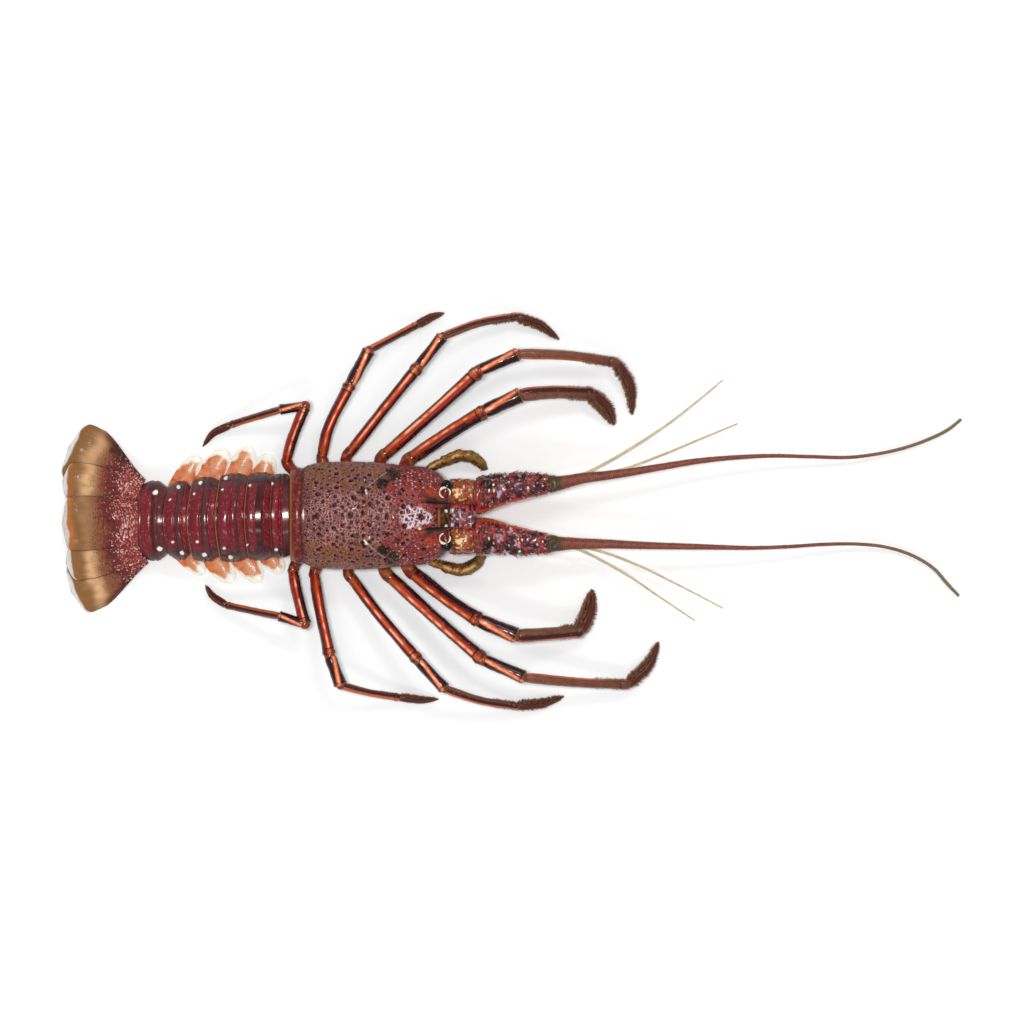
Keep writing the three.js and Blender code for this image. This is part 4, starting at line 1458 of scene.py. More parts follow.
@dataclass
class Eye:
    """A stalked eye: a black ball, its stalk and a pale ring beside it that paints a highlight."""

    side: int
    at: Point = (101.6, 19.2, 40.6)
    radius: float = 3.9

    def grow(self) -> None:
        """Builds the eye."""
        title = "left" if self.side > 0 else "right"
        centre = np.array([self.at[0], self.at[1] * self.side, self.at[2]])
        stalk = curve([(99.5, 12.6 * self.side, 41.2), (100.6, 15.6 * self.side, 41.4), tuple(centre)], 14)
        stem = Skin(tube(stalk, np.linspace(2.4, 3.2, 14), ring_angles(28)), look=1)
        sweep = np.linspace(-0.5, 4.5, 48)
        ring = np.stack(
            [
                100.2 + 3.4 * np.cos(sweep),
                (14.8 + 3.3 * np.sin(sweep)) * self.side,
                44.0 - 0.25 * np.cos(sweep),
            ],
            axis=-1,
        )
        thick = (0.6 + 0.3 * np.cos(sweep * 3.1)) * np.sin(np.linspace(0.2, math.pi - 0.2, 48)) ** 0.5
        # The pale ring is a painted highlight.
        rim = Skin(tube(ring, thick, ring_angles(12)), look=2)
        finishes = [PALETTE.of(EYE_GLASS), PALETTE.of(KNOBBLY_SHELL), PALETTE.of(PALE_RING_HIGHLIGHT)]
        piece = make_object(f"eye_{title}_ball", [ball(centre, self.radius), stem, rim], finishes)
        settle(piece, "eye", f"eye_{title}")


# ---------------------------------------------------------------- abdomen


class Coat(Enum):
    """Kinds of cross band on a tail ring."""

    DOTTED = "dotted"
    SMOOTH = "smooth"
    DARK = "dark"
    SPECKLED = "speckled"


@dataclass
class Somite:
    """One ring of the tail.

    Attributes:
        number: Its number from the front.
        rear: Station of its rear edge at the midline.
        half: Half width.
        back: Height of the back.
        tip: Height of the side tips.
        bow: Bow of the rear edge.
        notch: How far the flanks draw in between the side lobes.
        bands: Cross bands from front to rear, each with its start and end as shares of the length.
        pearls: White spots on the flanks, in millimetres.
        line: Strength of the golden line at the rear edge.
        level: Where the back is level and smooth, as shares of the length, so it mirrors the top lamp.
    """

    number: int
    rear: float
    half: float
    back: float
    tip: float
    bow: float
    notch: float
    bands: tuple[tuple[Coat, float, float], ...]
    pearls: tuple[Point, ...]
    line: float
    level: tuple[float, float] = (0.5, 0.5)
    ahead: "Somite | None" = None
    back_after: float = 20
    rings: int = 84
    around: int = 190

    def profile(self, t: Array) -> tuple[Array, Array]:
        """Shares of the half width and the height along the ring, with its cross grooves."""
        rows = (
            (0, 0.955, 0.93),
            (0.16, 0.975, 0.96),
            (0.24, 0.99, 0.985),
            (0.42, 1.0, 1.0),
            (0.5, 0.988, 0.978),
            (0.6, 1.0, 1.0),
            (0.9, 0.996, 1.005),
            (1, 0.99, 0.998),
        )
        return along(rows, t, 1), along(rows, t, 2)

    def skin(self) -> Skin:
        """The ring's skin with its grooves, lobes and marks."""
        gap = 0.4
        front = self.ahead.rear if self.ahead else 0.0
        back_before = self.ahead.back if self.ahead else 43.4
        bow_before = self.ahead.bow if self.ahead else 0.0
        t, angle = np.meshgrid(np.linspace(0, 1, self.rings), ring_angles(self.around), indexing="ij")
        wide, tall = self.profile(t)
        x = mix(front - gap, self.rear, t)
        sway = -3.4 * smooth(-x / 92)
        belly = self.tip + 4.6
        lobe = np.sin(math.pi * np.clip((t - 0.05) / 0.95, 0, 1)) - 1
        w = self.half * wide + self.notch * lobe
        crest = np.where(
            t < 0.5,
            mix((self.back + back_before) / 2, self.back, np.clip(t * 2, 0, 1)),
            mix(self.back, (self.back + self.back_after) / 2, np.clip(t * 2 - 1, 0, 1)),
        )
        crest = crest * tall
        start, end = self.level
        calm = band(t, start - 0.02, end + 0.02, 0.05) * (end > start)
        flat = crest[int(self.rings * (start + end) / 2), 0] + 0.15
        crest = mix(crest, flat, calm)
        turn = np.abs(angle) / math.pi
        side = -np.sign(np.where(angle == 0, 1, angle))
        flank = 0.7
        sweep = np.clip(turn / flank, 0, 1) * math.pi / 2
        inward = np.clip((turn - flank) / (1 - flank), 0, 1)
        over = turn <= flank
        y = np.where(over, side * w * np.sin(sweep) ** 0.92, side * w * (1 - inward) * 0.97)
        over_z = mix(self.tip, crest, np.cos(sweep) ** 0.8)
        z = np.where(over, over_z, mix(self.tip, belly, smooth(inward * 2)))
        bend = mix(bow_before, self.bow, t) * np.abs(y / 28) ** 1.35
        points = np.stack([x + bend, sway + y, z], axis=-1)
        relief = self.relief(points, t, over) * (1 - calm)
        return Skin(raised(points, relief), self.marks(points, t, y, over))

    def relief(self, points: Array, t: Array, over: Array) -> Array:
        """Fine relief: a lip at the rear, a crease across and shallow ripples."""
        lip = 0.25 * hump(t, 0.965, 0.02) - 0.3 * hump(t, 0.915, 0.015)
        crease = -0.35 * hump(t, 0.235, 0.02) - 0.3 * hump(t, 0.5, 0.03)
        ripple = 0.22 * (cloud(points, 4.5, self.number) - 0.5)
        return np.where(over, lip + crease, 0.0) + ripple

    def marks(self, points: Array, t: Array, y: Array, over: Array) -> dict[str, Array]:
        """Colour marks: cross bands with dots, dark flanks, white spots, the golden edge and painted shade in the cross
        grooves.
        """
        haze = cloud(points, 5.0, self.number + 20)
        fuzz = cloud(points, 2.2, self.number + 30)
        shade = {kind: np.zeros(t.shape) for kind in Coat}
        for kind, start, end in self.bands:
            shade[kind] = np.maximum(shade[kind], band(t, start, end, 0.06))
        gap, _, lot = Net(1.15, self.number + 3.0, 0.9).read(points[..., 0], y * 1.15)
        dots = (1 - smooth((gap - 0.14) / 0.2)) * smooth((lot - 0.45) / 0.4)
        flank = smooth((np.abs(y) + 3 * (haze - 0.5) - self.half * 0.62) / (self.half * 0.26))
        lively = np.maximum(shade[Coat.DOTTED], 0.7 * shade[Coat.SPECKLED])
        line = self.line * hump(t, 0.985, 0.016)
        top = np.where(over, 1.0, 0.0)
        dark = np.maximum(shade[Coat.DARK] * mix(0.35, 0.85, haze), flank * mix(0.3, 0.9, haze))
        # Fine dark lines run across the lively bands, about a millimetre apart.
        wave = np.cos((points[..., 0] - 1.2 * haze) * 2 * math.pi / 1.1)
        dark = dark + 0.3 * lively * smooth((wave - 0.2) / 0.6) * mix(0.4, 1.0, fuzz)
        return {
            "grey": top * shade[Coat.SMOOTH] * (1 - 0.6 * flank) * mix(0.3, 0.8, haze),
            "crimson": top * lively * (1 - 0.7 * flank) * mix(0.45, 1.0, fuzz),
            # The dark mark also paints shade along the two cross grooves.
            "dark": top * np.clip(dark + 0.8 * hump(t, 0.915, 0.015) + 0.5 * hump(t, 0.235, 0.015), 0, 1),
            "plum": top * np.clip(0.5 * flank * smooth((haze - 0.45) / 0.2) + 0.25 * fuzz, 0, 1),
            "dots": top * np.clip(0.85 * lively * dots * (1 - 0.75 * flank) * mix(0.4, 1.1, fuzz), 0, 1),
            "gold": top * np.clip(line * (1 - 0.3 * flank), 0, 1),
            "cream": blots(
                points[..., 0] + 1.4 * (fuzz - 0.5), points[..., 1] + 1.2 * (haze - 0.5), self.pearls, 0.6
            ),
            "belly": 1 - top,
            "dry": smooth((np.abs(y) - self.half * 0.36) / (self.half * 0.22)),
        }

    def grow(self) -> None:
        """Builds the ring."""
        name = f"abdomen_{self.number}"
        piece = make_object(f"{name}_ring", [self.skin()], [PALETTE.of(TAIL_SHELL)])
        settle(piece, "abdomen", name)


def tail_rings() -> list[Somite]:
    """The six rings of the tail, front to back, with their own bands and white spots."""
    speckled, dotted, plain, dark = Coat.SPECKLED, Coat.DOTTED, Coat.SMOOTH, Coat.DARK
    usual = ((dotted, 0.03, 0.24), (plain, 0.29, 0.48), (speckled, 0.52, 0.82), (dotted, 0.86, 0.95))
    first = ((plain, 0.0, 0.34), (dotted, 0.38, 0.82))
    second = ((speckled, 0.0, 0.27), (dark, 0.3, 0.56), (speckled, 0.56, 0.84))
    third = ((dotted, 0.03, 0.2), (plain, 0.2, 0.3), (speckled, 0.36, 0.85))
    sixth = ((plain, 0.05, 0.34), (dark, 0.4, 0.5), (dotted, 0.52, 0.95))
    levels = ((0.04, 0.36), (0.33, 0.55), (0.5, 0.5), (0.5, 0.5), (0.5, 0.5), (0.5, 0.5))
    rows = (
        (-13.3, 27.4, 42.0, 14.0, 1.4, 0.4, first, 0.4,
         ((-12.0, 20.5, 0.9), (-9.4, -22.1, 0.9))),
        (-29.9, 28.9, 43.2, 4.2, 2.2, 0.7, second, 1.0,
         ((-26.2, 19.3, 0.8), (-27.5, -19.0, 0.6))),
        (-49.1, 29.0, 42.0, 4.2, 3.0, 0.9, third, 1.0,
         ((-42.2, 24.4, 1.2), (-44.2, 16.6, 0.8), (-39.3, -27.0, 1.2), (-43.0, -21.1, 0.8))),
        (-67.6, 27.8, 38.4, 4.4, 3.8, 1.6, usual, 0.8,
         ((-59.2, 21.1, 1.2), (-62.4, 14.0, 0.8), (-56.2, -25.7, 1.2), (-60.5, -17.2, 0.8))),
        (-83.4, 26.0, 33.4, 4.8, 4.2, 3.2, usual, 0.35,
         ((-73.5, 18.5, 1.2), (-78.7, 10.4, 0.7), (-70.9, -24.1, 1.2), (-76.4, -17.2, 0.7))),
        (-99.4, 26.4, 27.4, 5.4, 0.8, 3.4, sixth, 0.15,
         ((-88.1, 15.3, 1.6), (-85.5, -22.1, 1.5))),
    )
    rings: list[Somite] = []
    for i, (rear, half, back, tip, bow, notch, bands, line, pearls) in enumerate(rows):
        after = rows[i + 1][2] if i + 1 < len(rows) else 20
        ahead = rings[-1] if rings else None
        rings.append(Somite(i + 1, rear, half, back, tip, bow, notch, bands, pearls, line, levels[i], ahead, after))
    return rings


# ---------------------------------------------------------------- tail fan


@dataclass
class FanPlate:
    """One plate of the tail fan.

    Attributes:
        name: The node that it stands for.
        root: Where it starts.
        tip: Where it ends.
        widths: Half widths at its root and near its end.
        layer: Layer counted up from the surface.
        root_thickness: Thickness at its root.
        peach: Strength of the pale band across it.
        rim: Strength of the clear rim at its end.
        orange: Strength of the orange band inside the rim.
        lead: Which edge is dark and hard, +1 left, -1 right, 0 neither.
    """

    name: str
    root: Point
    tip: tuple[float, float]
    widths: tuple[float, float]
    layer: int
    root_thickness: float
    peach: float
    rim: float
    orange: float
    lead: int
    rings: int = 150
    around: int = 150

    def skin(self) -> Skin:
        """The plate's skin, with rays, scalloped rim and marks."""
        thin, spacing, floor, full, start = 1.3, 1.75, 0.9, 0.68, 0.78
        heading = np.array([self.tip[0] - self.root[0], self.tip[1] - self.root[1]])
        length = float(np.linalg.norm(heading))
        heading /= length
        across = np.array([-heading[1], heading[0]])
        step, angle = np.meshgrid(np.linspace(0, 1, self.rings), ring_angles(self.around), indexing="ij")
        t = 1 - (1 - step) ** 1.35
        u = np.clip(t / full, 0, 1)
        widen = mix(self.widths[0], self.widths[1], 0.6 * u + 0.4 * smooth(u))
        end = np.clip((t - start) / (1 - start), 0, 1)
        w = widen * np.maximum((1 - end**4.5) ** 0.62, 0.02)
        thick = mix(self.root_thickness, thin, smooth(t / 0.45) ** 0.6) / 2
        thick = thick * (1 - 0.55 * smooth((t - 0.86) / 0.14))
        middle = mix(self.root[2], floor + self.layer * spacing, smooth(t / 0.8) ** 0.8)
        out = power(-np.sin(angle), 0.7) * w
        high = power(np.cos(angle), 0.6)
        run = t * length
        scallop = 0.55 * np.abs(np.sin(out / 5.2)) * smooth((t - 0.75) / 0.2)
        x = self.root[0] + heading[0] * (run - scallop) + across[0] * out
        y = self.root[1] + heading[1] * (run - scallop) + across[1] * out
        rays = 0.10 * np.cos(out * (2 * math.pi / 1.5)) * smooth((t - 0.3) / 0.2) * (1 - end)
        keel = 0.7 * hump(out, 0.0, 1.4) * (1 - smooth((t - 0.45) / 0.3))
        flat = np.stack([x, y, 0 * x], axis=-1)
        knobs = 1.1 * (cloud(flat, 3.0, 37.0) - 0.4) * (1 - smooth((run - 8) / 16))
        sag = 0.5 * (cloud(flat, 9.0, 39.0) - 0.5) * smooth((t - 0.4) / 0.3)
        z = np.maximum(middle + high * thick + np.where(high > 0, rays + keel + knobs + sag, 0.0), 0.02)
        points = np.stack([x, y, z], axis=-1)
        return Skin(points, self.marks(points, t, out, w, length))

    def marks(self, points: Array, t: Array, out: Array, w: Array, length: float) -> dict[str, Array]:
        """Colour marks, from a dark speckled root through tan and peach to the clear rim."""
        far = t * length
        edge = (1 - t) * length
        side = w - np.abs(out)
        haze = cloud(points, 6.0, 31.0)
        fine = cloud(points, 1.5, 33.0)
        streaks = cloud(np.stack([far / 9, out / 1.3, 0 * t], axis=-1), 1.0, 35.0)
        edge = edge + (haze - 0.5) * 5 + (streaks - 0.5) * 2.5
        tip_gap = np.minimum((1 - t) * length, side * 2 + 13 * (1 - smooth((t - 0.72) / 0.25)))
        root = 1 - smooth((far + (haze - 0.5) * 10 - 14) / 10)
        soft = smooth((far + (haze - 0.5) * 8 + (streaks - 0.5) * 8 - 20) / 12)
        gap, _, lot = Net(1.05, 41.0, 0.95).read(far + 1.2 * (fine - 0.5), out + 1.2 * (streaks - 0.5))
        bright = lot > mix(0.38, 0.95, smooth((far - 4) / 36))
        # Glints are painted highlights: near the root they make the pale specks larger.
        glints = smooth((cloud(points, 3.0, 43.0) - 0.55) / 0.15) * hump(far, 9.0, 6.0)
        specks = (1 - smooth((gap / (mix(0.3, 0.8, draw(lot)) + 0.7 * glints) - 0.15) / 0.4)) * bright
        # Fine dark dashes run lengthwise where the speckled root turns into the tan leather.
        dash_gap, _, dash_lot = Net(0.95, 47.0, 0.6).read(far * 0.55, out)
        rays = (1 - smooth((dash_gap - 0.14) / 0.18)) * (dash_lot > 0.35) * band(far, 11, 33, 12)
        shadow = ((-114.0, 42.5, 4.6), (-109.0, 37.0, 3.4))
        edge_patch = blots(points[..., 0] + 3 * (fine - 0.5), points[..., 1] + 3 * (streaks - 0.5), shadow, 0.9)
        edge_patch = edge_patch * (self.lead < 0)
        hard = smooth((out * self.lead / np.maximum(w, 0.1) - 0.6) / 0.3) if self.lead else 0 * t
        hard = hard * (1 - smooth((t - 0.6) / 0.25))
        seam = (1 - smooth((side - 0.15) / 0.5)) * mix(1.3, 1.0, smooth((t - 0.25) / 0.2))
        return {
            "plum": np.clip(band(far + (haze - 0.5) * 6, 14, 25, 9) * 0.6 + hard, 0, 1),
            "tan": soft * (1 - 0.7 * hard),
            "olive": soft * band(edge, 4.0, 13.0, 5.0) * mix(0.35, 0.9, haze),
            "peach": self.peach * hump(edge, 17.0, 5.0) * (1 - hard) * mix(0.75, 1, streaks) * soft,
            "orange": np.clip(
                self.orange * band(tip_gap + 3 * (haze - 0.5), 2.2, 7.0, 5.0) * mix(0.2, 1.0, fine), 0, 1
            ),
            "rim": self.rim * (1 - smooth((tip_gap + (haze - 0.5) * 3 - 2.4) / 1.4)) * mix(0.75, 1, fine),
            "ink": np.clip(
                0.8 * (1 - smooth((tip_gap - 0.1) / 0.3)) * smooth((t - 0.7) / 0.2)
                + 0.75 * rays
                + 0.7 * seam
                + 0.9 * edge_patch * mix(0.5, 1.1, fine),
                0,
                1,
            ),
            "specks": np.clip(specks * (root * mix(0.35, 1.0, streaks) + 0.3 * (1 - soft)), 0, 1),
        }

    def grow(self) -> None:
        """Builds the plate."""
        skin = self.skin()
        piece = make_object(self.name + "_plate", [skin], [PALETTE.of(FAN_LEATHER)])
        settle(piece, "fan", self.name)


def fan_plates() -> list[FanPlate]:
    """The five plates of the tail fan, the middle one on top."""
    return [
        FanPlate("telson", (-99.9, -4.6, 13.4), (-150.4, -5.2), (14.5, 18), 2, 11, 0.25, 0.75, 0.9, 0),
        FanPlate("uropod_left_inner", (-98, 17, 11), (-150.2, 22.6), (7.6, 13.2), 1, 7, 1.0, 0.9, 0.5, 0),
        FanPlate("uropod_left_outer", (-97, 20.5, 8.6), (-146.4, 44.8), (3.4, 20), 0, 6, 0.8, 1.0, 0.1, -1),
        FanPlate("uropod_right_inner", (-97.6, -25, 11), (-148, -31), (6, 12.4), 1, 7, 1.0, 0.9, 0.25, 0),
        FanPlate("uropod_right_outer", (-95.4, -27.6, 8.6), (-144.6, -50), (4, 17.8), 0, 6, 1.0, 1.0, 0.2, 1),
    ]


@dataclass
class Pleopod:
    """A swimmeret that shows beside the tail."""

    name: str
    root: tuple[float, float]
    tip: tuple[float, float]
    half: float
    rings: int = 70
    around: int = 72

    def grow(self) -> None:
        """Builds the flap."""
        heading = np.array(self.tip) - np.array(self.root)
        length = float(np.linalg.norm(heading))
        heading = heading / length
        t, angle = np.meshgrid(np.linspace(0, 1, self.rings), ring_angles(self.around), indexing="ij")
        w = 1.22 * self.half * np.maximum(0.05, (1 - np.abs(1 - 2 * (0.2 + 0.8 * t)) ** 2.6) ** 0.5)
        lift = 1.0 + (1 - smooth(t / 0.28)) * 3.8
        out = -power(np.sin(angle), 0.8) * w
        share = np.abs(out) / self.half
        bow = 0.55 * smooth((t - 0.3) / 0.3) * (1 - share**2)
        thick = 0.62 * (1 - 0.45 * share) * (1 - 0.4 * smooth((t - 0.7) / 0.3))
        x = self.root[0] + heading[0] * t * length - heading[1] * out
        y = self.root[1] + heading[1] * t * length + heading[0] * out
        z = np.maximum(lift + np.cos(angle) * thick + bow, 0.05)
        points = np.stack([x, y, z], axis=-1)
        points[..., 2] += 0.25 * (cloud(points, 3.0, 51.0) - 0.5)
        points[..., 2] = np.maximum(points[..., 2], 0.02)
        rim_gap = np.minimum((1 - t) * length * 0.62, (w - np.abs(out)) * 1.1 + 7 * (1 - smooth((t - 0.2) / 0.6)))
        ragged = (cloud(points, 3.4, 53.0) - 0.5) * 3.4
        gap, _, lot = Net(2.0, 57.0, 0.9).read(points[..., 0], points[..., 1])
        marks = {
            "peach": 0.85 * hump(out, 0.0, self.half * 0.5) * band(t, 0.45, 0.9, 0.25),
            "cream": 1 - smooth((rim_gap + ragged - 2.3) / 2.2),
            "white": 1 - smooth((rim_gap - 0.35) / 0.35),
            "ink": np.clip(
                0.6 * (1 - smooth((gap - 0.2) / 0.2)) * (lot > 0.72)
                + 0.35 * hump(out, self.half * 0.1, 0.3) * band(t, 0.3, 0.75, 0.1)
                + 0.3 * (1 - smooth((rim_gap - 0.12) / 0.12)),
                0,
                1,
            ),
        }
        piece = make_object(self.name + "_flap", [Skin(points, marks)], [PALETTE.of(SOFT_FLAP)])
        settle(piece, "pleopod", self.name)


def pleopods() -> list[Pleopod]:
    """The eight swimmerets, back to front on each side."""
    rows = {
        "left": (
            ((-76.6, 15.0), (-61.2, 39.6), 5.8),
            ((-59.6, 15.0), (-43.2, 43.2), 7.3),
            ((-40.4, 15.0), (-27.6, 44.8), 7.3),
            ((-22.6, 15.0), (-15.2, 40.4), 6.7),
        ),
        "right": (
            ((-76, -20.0), (-57.8, -38.2), 5.2),
            ((-58.6, -18.0), (-38.8, -43.8), 6.6),
            ((-40, -17.0), (-20.8, -43.4), 6.8),
            ((-21.6, -16.0), (-7, -38), 6.0),
        ),
    }
    return [Pleopod(f"pleopod_{side}_{i + 1}", *row) for side in rows for i, row in enumerate(rows[side])]


# ---------------------------------------------------------------- legs


@dataclass(frozen=True)
class Stripe:
    """A lengthwise stripe: where it runs round the limb, from its top towards the head, and how wide."""

    at: float
    width: float

    def on(self, turn: Array) -> Array:
        """Its share at each angle."""
        off = (turn - self.at + math.pi) % (2 * math.pi) - math.pi
        return 1 - smooth((np.abs(off) / self.width - 0.75) / 0.5)


@dataclass
class Leg:
    """A walking leg of five visible joints, with its bristles.

    Attributes:
        side: +1 for the left, -1 for the right.
        number: Its number from the front.
        marks_at: Hip, edge of the shell, middle of the thigh, knee, wrist, middle of the shank, ankle,
            bend of the claw and claw tip.
        girths: Half thickness of thigh, knee collar, wrist piece and shank.
        stripe: The orange stripe of the thigh.
        blush: The red field beside it.
        shank: The orange edge of the shank.
        dusk: Angle towards the head from which the thigh is dark.
    """

    side: int
    number: int
    marks_at: tuple[Point, ...]
    girths: tuple[float, float, float, float]
    stripe: Stripe
    blush: Stripe
    shank: Stripe
    dusk: float
    around: int = 40

    def turned(self) -> Array:
        """Angles round the limb, from the top towards the head's side."""
        return ring_angles(self.around)

    def joint(
        self, points: Sequence[Point], rows: Sequence[Point], girth: float, count: int, flatten: float = 1.06
    ) -> tuple[Array, Array, Array]:
        """One joint of the limb.

        Args:
            points: Its middle line.
            rows: Share of its length, share of its girth and a third column that isn't read here.
            girth: Its half thickness.
            count: How many rings.
            flatten: Height over width.

        Returns:
            Its corners, the share of the way along and the angle towards the head, as grids.
        """
        path = curve(points, count)
        t = np.linspace(0, 1, count)
        turn = self.turned()
        angles = turn * self.side
        corners = tube(path, girth * along(rows, t, 1), angles, flatten)
        grid_t, grid_turn = np.meshgrid(t, turn, indexing="ij")
        return corners, grid_t, grid_turn

    def skins(self) -> list[Skin]:
        """The skins of all joints, hip to claw."""
        hip, edge, mid, knee, wrist, shank, ankle, bend, tip = (np.array(p, float) for p in self.marks_at)
        thigh_r, collar_r, wrist_r, shank_r = self.girths
        made = []
        # Hip: short, brown and gold, knobbly at its rim.
        rows = ((0, 0.95, 0), (0.55, 1.0, 0), (0.8, 1.08, 0), (0.88, 1.04, 0), (1, 0.86, 0))
        over = edge + (mid - edge) * 0.2
        corners, t, turn = self.joint([hip, (hip + edge) / 2, edge, over], rows, thigh_r * 0.94, 50)
        haze = cloud(corners, 2.6, 65.0)
        corners = raised(corners, 0.6 * (haze - 0.5))
        made.append(
            self.skin(
                corners,
                t,
                turn,
                brown=0.5 * haze,
                red=0.5 * np.ones(t.shape),
                gold=smooth((haze - 0.5) / 0.2) * 0.6,
                line=0.9 * smooth((np.abs(turn) - 1.0) / 0.35) + 0.7 * hump(t, 0.9, 0.03),
            )
        )
        # Thigh: swells smoothly into the knee.
        swell = collar_r / thigh_r
        rows = ((0, 0.8, 0), (0.06, 0.93, 0), (0.5, 0.97, 0), (0.82, 1.02, 0), (0.88, 1.06, 0), (0.92, 1.1, 0))
        rows += ((0.95, swell * 0.9, 0), (0.975, swell * 0.9, 0), (1, swell * 0.72, 0))
        corners, t, turn = self.joint([edge, mid, knee], rows, thigh_r, 120)
        haze = cloud(corners, 4.0, 61.0)
        fine = cloud(corners, 1.6, 69.0)
        rim = hump(t, 0.925, 0.008) + 0.7 * hump(t, 0.985, 0.008)
        collar = smooth((t - 0.925) / 0.02)
        corners = raised(corners, -0.3 * rim + 0.3 * (haze - 0.5) * (1 + collar))
        night = smooth((turn - self.dusk - 0.5 * (haze - 0.5)) / 0.3) + smooth((-turn - 1.05) / 0.2)
        low = 1 - smooth((t - 0.1) / 0.2)
        made.append(
            self.skin(
                corners,
                t,
                turn,
                red=0.95 * self.blush.on(turn) + 0.7 * low,
                black=night * (1 - 0.5 * collar) * mix(0.75, 1.0, fine),
                stripe=self.stripe.on(turn) * mix(0.55, 1.0, haze) * (1 - 0.4 * low),
                # The glint along the stripe is a painted highlight; the gold flecks on the collar are partly golden
                # shell and partly painted glints.
                glint=0.95 * Stripe(self.stripe.at, 0.1).on(turn) * smooth((haze - 0.35) / 0.3) * (1 - low),
                gold=(0.5 * collar + 0.35 * low) * smooth((fine - 0.5) / 0.2),
                line=rim + smooth((-turn - 1.25) / 0.15),
            )
        )
        made.append(ball(knee, collar_r * 0.74, red=0.5, gold=0.2))
        # Wrist piece: black with an orange stripe that runs off to the rear.
        rows = ((0, 0.86, 0), (0.08, 0.96, 0), (0.5, 0.98, 0), (0.86, 1.06, 0), (0.95, 1.12, 0), (1, 0.95, 0))
        corners, t, turn = self.joint([knee, (knee + wrist) / 2, wrist], rows, wrist_r, 60)
        corners = raised(corners, 0.3 * (cloud(corners, 3.0, 67.0) - 0.5) - 0.4 * hump(t, 0.9, 0.015))
        made.append(
            self.skin(
                corners,
                t,
                turn,
                black=0.92 * np.ones(t.shape),
                stripe=Stripe(0.0, 0.34).on(turn - mix(self.stripe.at + 0.55, self.stripe.at - 0.35, t)) * 0.95,
                # The glint along the stripe is a painted highlight.
                glint=0.6 * Stripe(0.0, 0.1).on(turn - mix(self.stripe.at + 0.45, self.stripe.at - 0.3, t)),
                gold=0.6 * hump(t, 0.97, 0.02),
                line=smooth((np.abs(turn) - 1.2) / 0.15) + 0.8 * hump(t, 0.9, 0.015),
            )
        )
        made.append(ball(wrist, wrist_r * 0.74, brown=0.4, red=0.3))
        # Shank: plum brown with an orange edge.
        rows = ((0, 0.84, 0), (0.05, 0.98, 0), (0.3, 1.0, 0), (0.6, 0.96, 0), (0.88, 0.98, 0), (0.95, 1.08, 0))
        rows += ((1, 0.95, 0),)
        corners, t, turn = self.joint([wrist, shank, ankle], rows, shank_r, 80)
        haze = cloud(corners, 3.0, 63.0)
        corners = raised(corners, 0.25 * (haze - 0.5) - 0.3 * hump(t, 0.915, 0.012))
        beside = Stripe(self.shank.at + self.shank.width + 0.35, 0.42)
        made.append(
            self.skin(
                corners,
                t,
                turn,
                brown=mix(1.0, 0.6, t) * mix(0.6, 1, haze),
                stripe=self.shank.on(turn) * 0.8 * mix(0.5, 1, haze),
                black=0.85 * beside.on(turn) + 0.5 * smooth((turn - 0.7) / 0.3),
                felt=0.6 * smooth((t - 0.66) / 0.2) * smooth((turn - 0.2) / 0.6),
                line=0.8 * smooth((np.abs(turn) - 1.2) / 0.15) + 0.6 * hump(t, 0.915, 0.012),
            )
        )
        made.append(ball(ankle, shank_r * 0.76, brown=0.6))
        # Claw: bent, dark and felted.
        rows = ((0, 0.84, 0), (0.06, 0.95, 0), (0.35, 0.98, 0), (0.6, 0.84, 0), (0.85, 0.5, 0), (1, 0.05, 0))
        corners, t, turn = self.joint([ankle, (ankle + bend) / 2, bend, tip], rows, shank_r, 60)
        corners = raised(corners, 0.25 * np.cos(turn * 6) * band(t, 0.1, 0.9, 0.1))
        felt = 0.9 * smooth((np.abs(np.cos(turn * 3)) - 0.25) / 0.4)
        made.append(self.skin(corners, t, turn, felt=felt, red=0.3 * (1 - felt), gold=0.8 * smooth((t - 0.9) / 0.08)))
        return made

    def skin(self, corners: Array, t: Array, turn: Array, **marks: Array | float) -> Skin:
        """A joint's skin with its marks filled in over the whole grid."""
        grids = {name: np.clip(np.broadcast_to(value, t.shape), 0, 1) for name, value in marks.items()}
        return Skin(corners, grids)

    def bristles(self) -> tuple[Array, Array, Array]:
        """Bristles on the claw and the end of the shank.

        Returns:
            Their feet, directions and sizes.
        """
        ankle, bend, tip = (np.array(p, float) for p in self.marks_at[6:9])
        wrist, shank = (np.array(p, float) for p in self.marks_at[4:6])
        claw = curve([ankle, (ankle + bend) / 2, bend, tip], 80)
        end = curve([wrist, shank, ankle], 80)[52:]
        feet, lean, size = [], [], []
        for path, count, reach in ((claw, 760, 1.0), (end, 300, 0.62)):
            heading = np.gradient(path, axis=0)
            heading /= np.linalg.norm(heading, axis=1, keepdims=True)
            flank = np.cross([0.0, 0.0, 1.0], heading)
            flank /= np.linalg.norm(flank, axis=1, keepdims=True)
            top = np.cross(heading, flank)
            n = np.arange(count, dtype=float) + self.number * 1000 + self.side * 37
            where = draw(n, 1.0)
            index = (where * (len(path) - 1)).astype(int)
